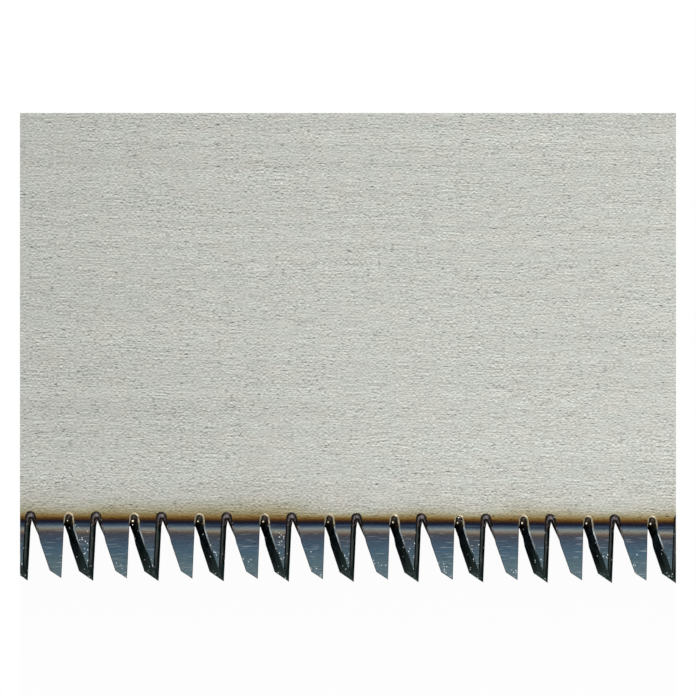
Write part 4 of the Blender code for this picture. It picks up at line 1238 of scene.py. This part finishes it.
def photo_camera():
    """Camera at the photograph's viewing angle."""
    data = bpy.data.cameras.new("photo_camera")
    data.lens = LENS
    data.sensor_width = SENSOR
    data.clip_start = MAT_DISTANCE / 4
    data.clip_end = 4 * FLOOR_RADIUS
    camera = bpy.data.objects.new("photo_camera", data)
    bpy.context.scene.collection.objects.link(camera)
    target = on_blade(TOE_LAND + PHOTO_TOOTH * TOOTH_PITCH + PHOTO_ALONG, -PHOTO_RISE, PLATE_THICKNESS / 2)
    lean = -math.tan(CAMERA_LEFT) * ALONG - math.tan(CAMERA_BELOW) * ACROSS
    back = Vector((*lean, 1.0)).normalized()
    right = Vector((*ACROSS, 0.0)).cross(back).normalized()
    turn = Matrix((right, back.cross(right), back)).transposed() @ Matrix.Rotation(CAMERA_ROLL, 3, "Z")
    camera.matrix_world = Matrix.Translation(target + back * CAMERA_DISTANCE) @ turn.to_4x4()
    bpy.context.scene.camera = camera
    return camera


def lit_paper(name, lit):
    """White paper that shows the camera and the metal this share of plain white and takes shadows."""
    material, tree, shader = new_finish(name, 0.0, 0.8)
    shader.inputs["Base Color"].default_value = PAPER_WHITE
    glow = add(tree, "Emission", {"Color": PLAIN_WHITE, "Strength": 1.0})
    rays = add(tree, "LightPath", output="Is Camera Ray")
    seen = rays
    for kind in ("Is Glossy Ray", "Is Transmission Ray"):
        seen = add(tree, "Math", (seen, rays.node.outputs[kind]), operation="MAXIMUM")
    share = add(tree, "Math", (seen, lit), operation="MULTIPLY")
    paper = add(tree, "MixShader", (share, shader.outputs["BSDF"], glow))
    tree.links.new(paper, tree.nodes["Material Output"].inputs["Surface"])
    return material


def page_margin(camera):
    """White mat just before the lens, for the margins that the photograph has on three sides."""
    half = MAT_DISTANCE * SENSOR / LENS / 2
    middle = PICTURE / 2
    left, right = [half * (x - middle) / middle for x in (MARGIN_LEFT, MARGIN_RIGHT)]
    top = half * (middle - MARGIN_TOP) / middle
    edge = 2 * half
    bm = bmesh.new()
    corners = (
        (-edge, -edge), (left, -edge), (left, top), (right, top),
        (right, -edge), (edge, -edge), (edge, edge), (-edge, edge),
    )
    bm.faces.new([bm.verts.new((x, y, -MAT_DISTANCE)) for x, y in corners])
    mat = new_piece("page_margin", bm, [lit_paper("white_mat", MAT_LIT)])
    mat.matrix_world = camera.matrix_world
    mat.visible_shadow = mat.visible_diffuse = mat.visible_glossy = mat.visible_transmission = False


def softbox(name, place, aim, size, watts):
    lamp = bpy.data.lights.new(name, "AREA")
    lamp.shape = "RECTANGLE"
    lamp.size, lamp.size_y = size
    lamp.energy = watts
    box = bpy.data.objects.new(name, lamp)
    box.location = place
    box.rotation_euler = (Vector(aim) - Vector(place)).to_track_quat("-Z", "Y").to_euler()
    bpy.context.scene.collection.objects.link(box)


def studio():
    scene = bpy.context.scene
    scene.view_settings.view_transform = "Standard"
    world = bpy.data.worlds.new("studio")
    scene.world = world
    world.use_nodes = True
    tree = world.node_tree
    way = add(tree, "TexCoord", output="Generated")
    height = add(tree, "SeparateXYZ", {"Vector": way}, output="Z")
    sky = add(tree, "ValToRGB", (height,), SKY)
    tree.links.new(sky, tree.nodes["Background"].inputs["Color"])

    bm = bmesh.new()
    bmesh.ops.create_circle(bm, cap_ends=True, segments=FLOOR_STEPS, radius=FLOOR_RADIUS)
    floor = new_piece("floor", bm, [lit_paper("white_paper_floor", FLOOR_LIT)])
    floor.location.z = -FLOOR_DROP
    for name, box in SOFTBOXES.items():
        softbox(name, *box)


make_blade()
make_winding()
make_fasteners()
dress_all()
page_margin(photo_camera())
studio()
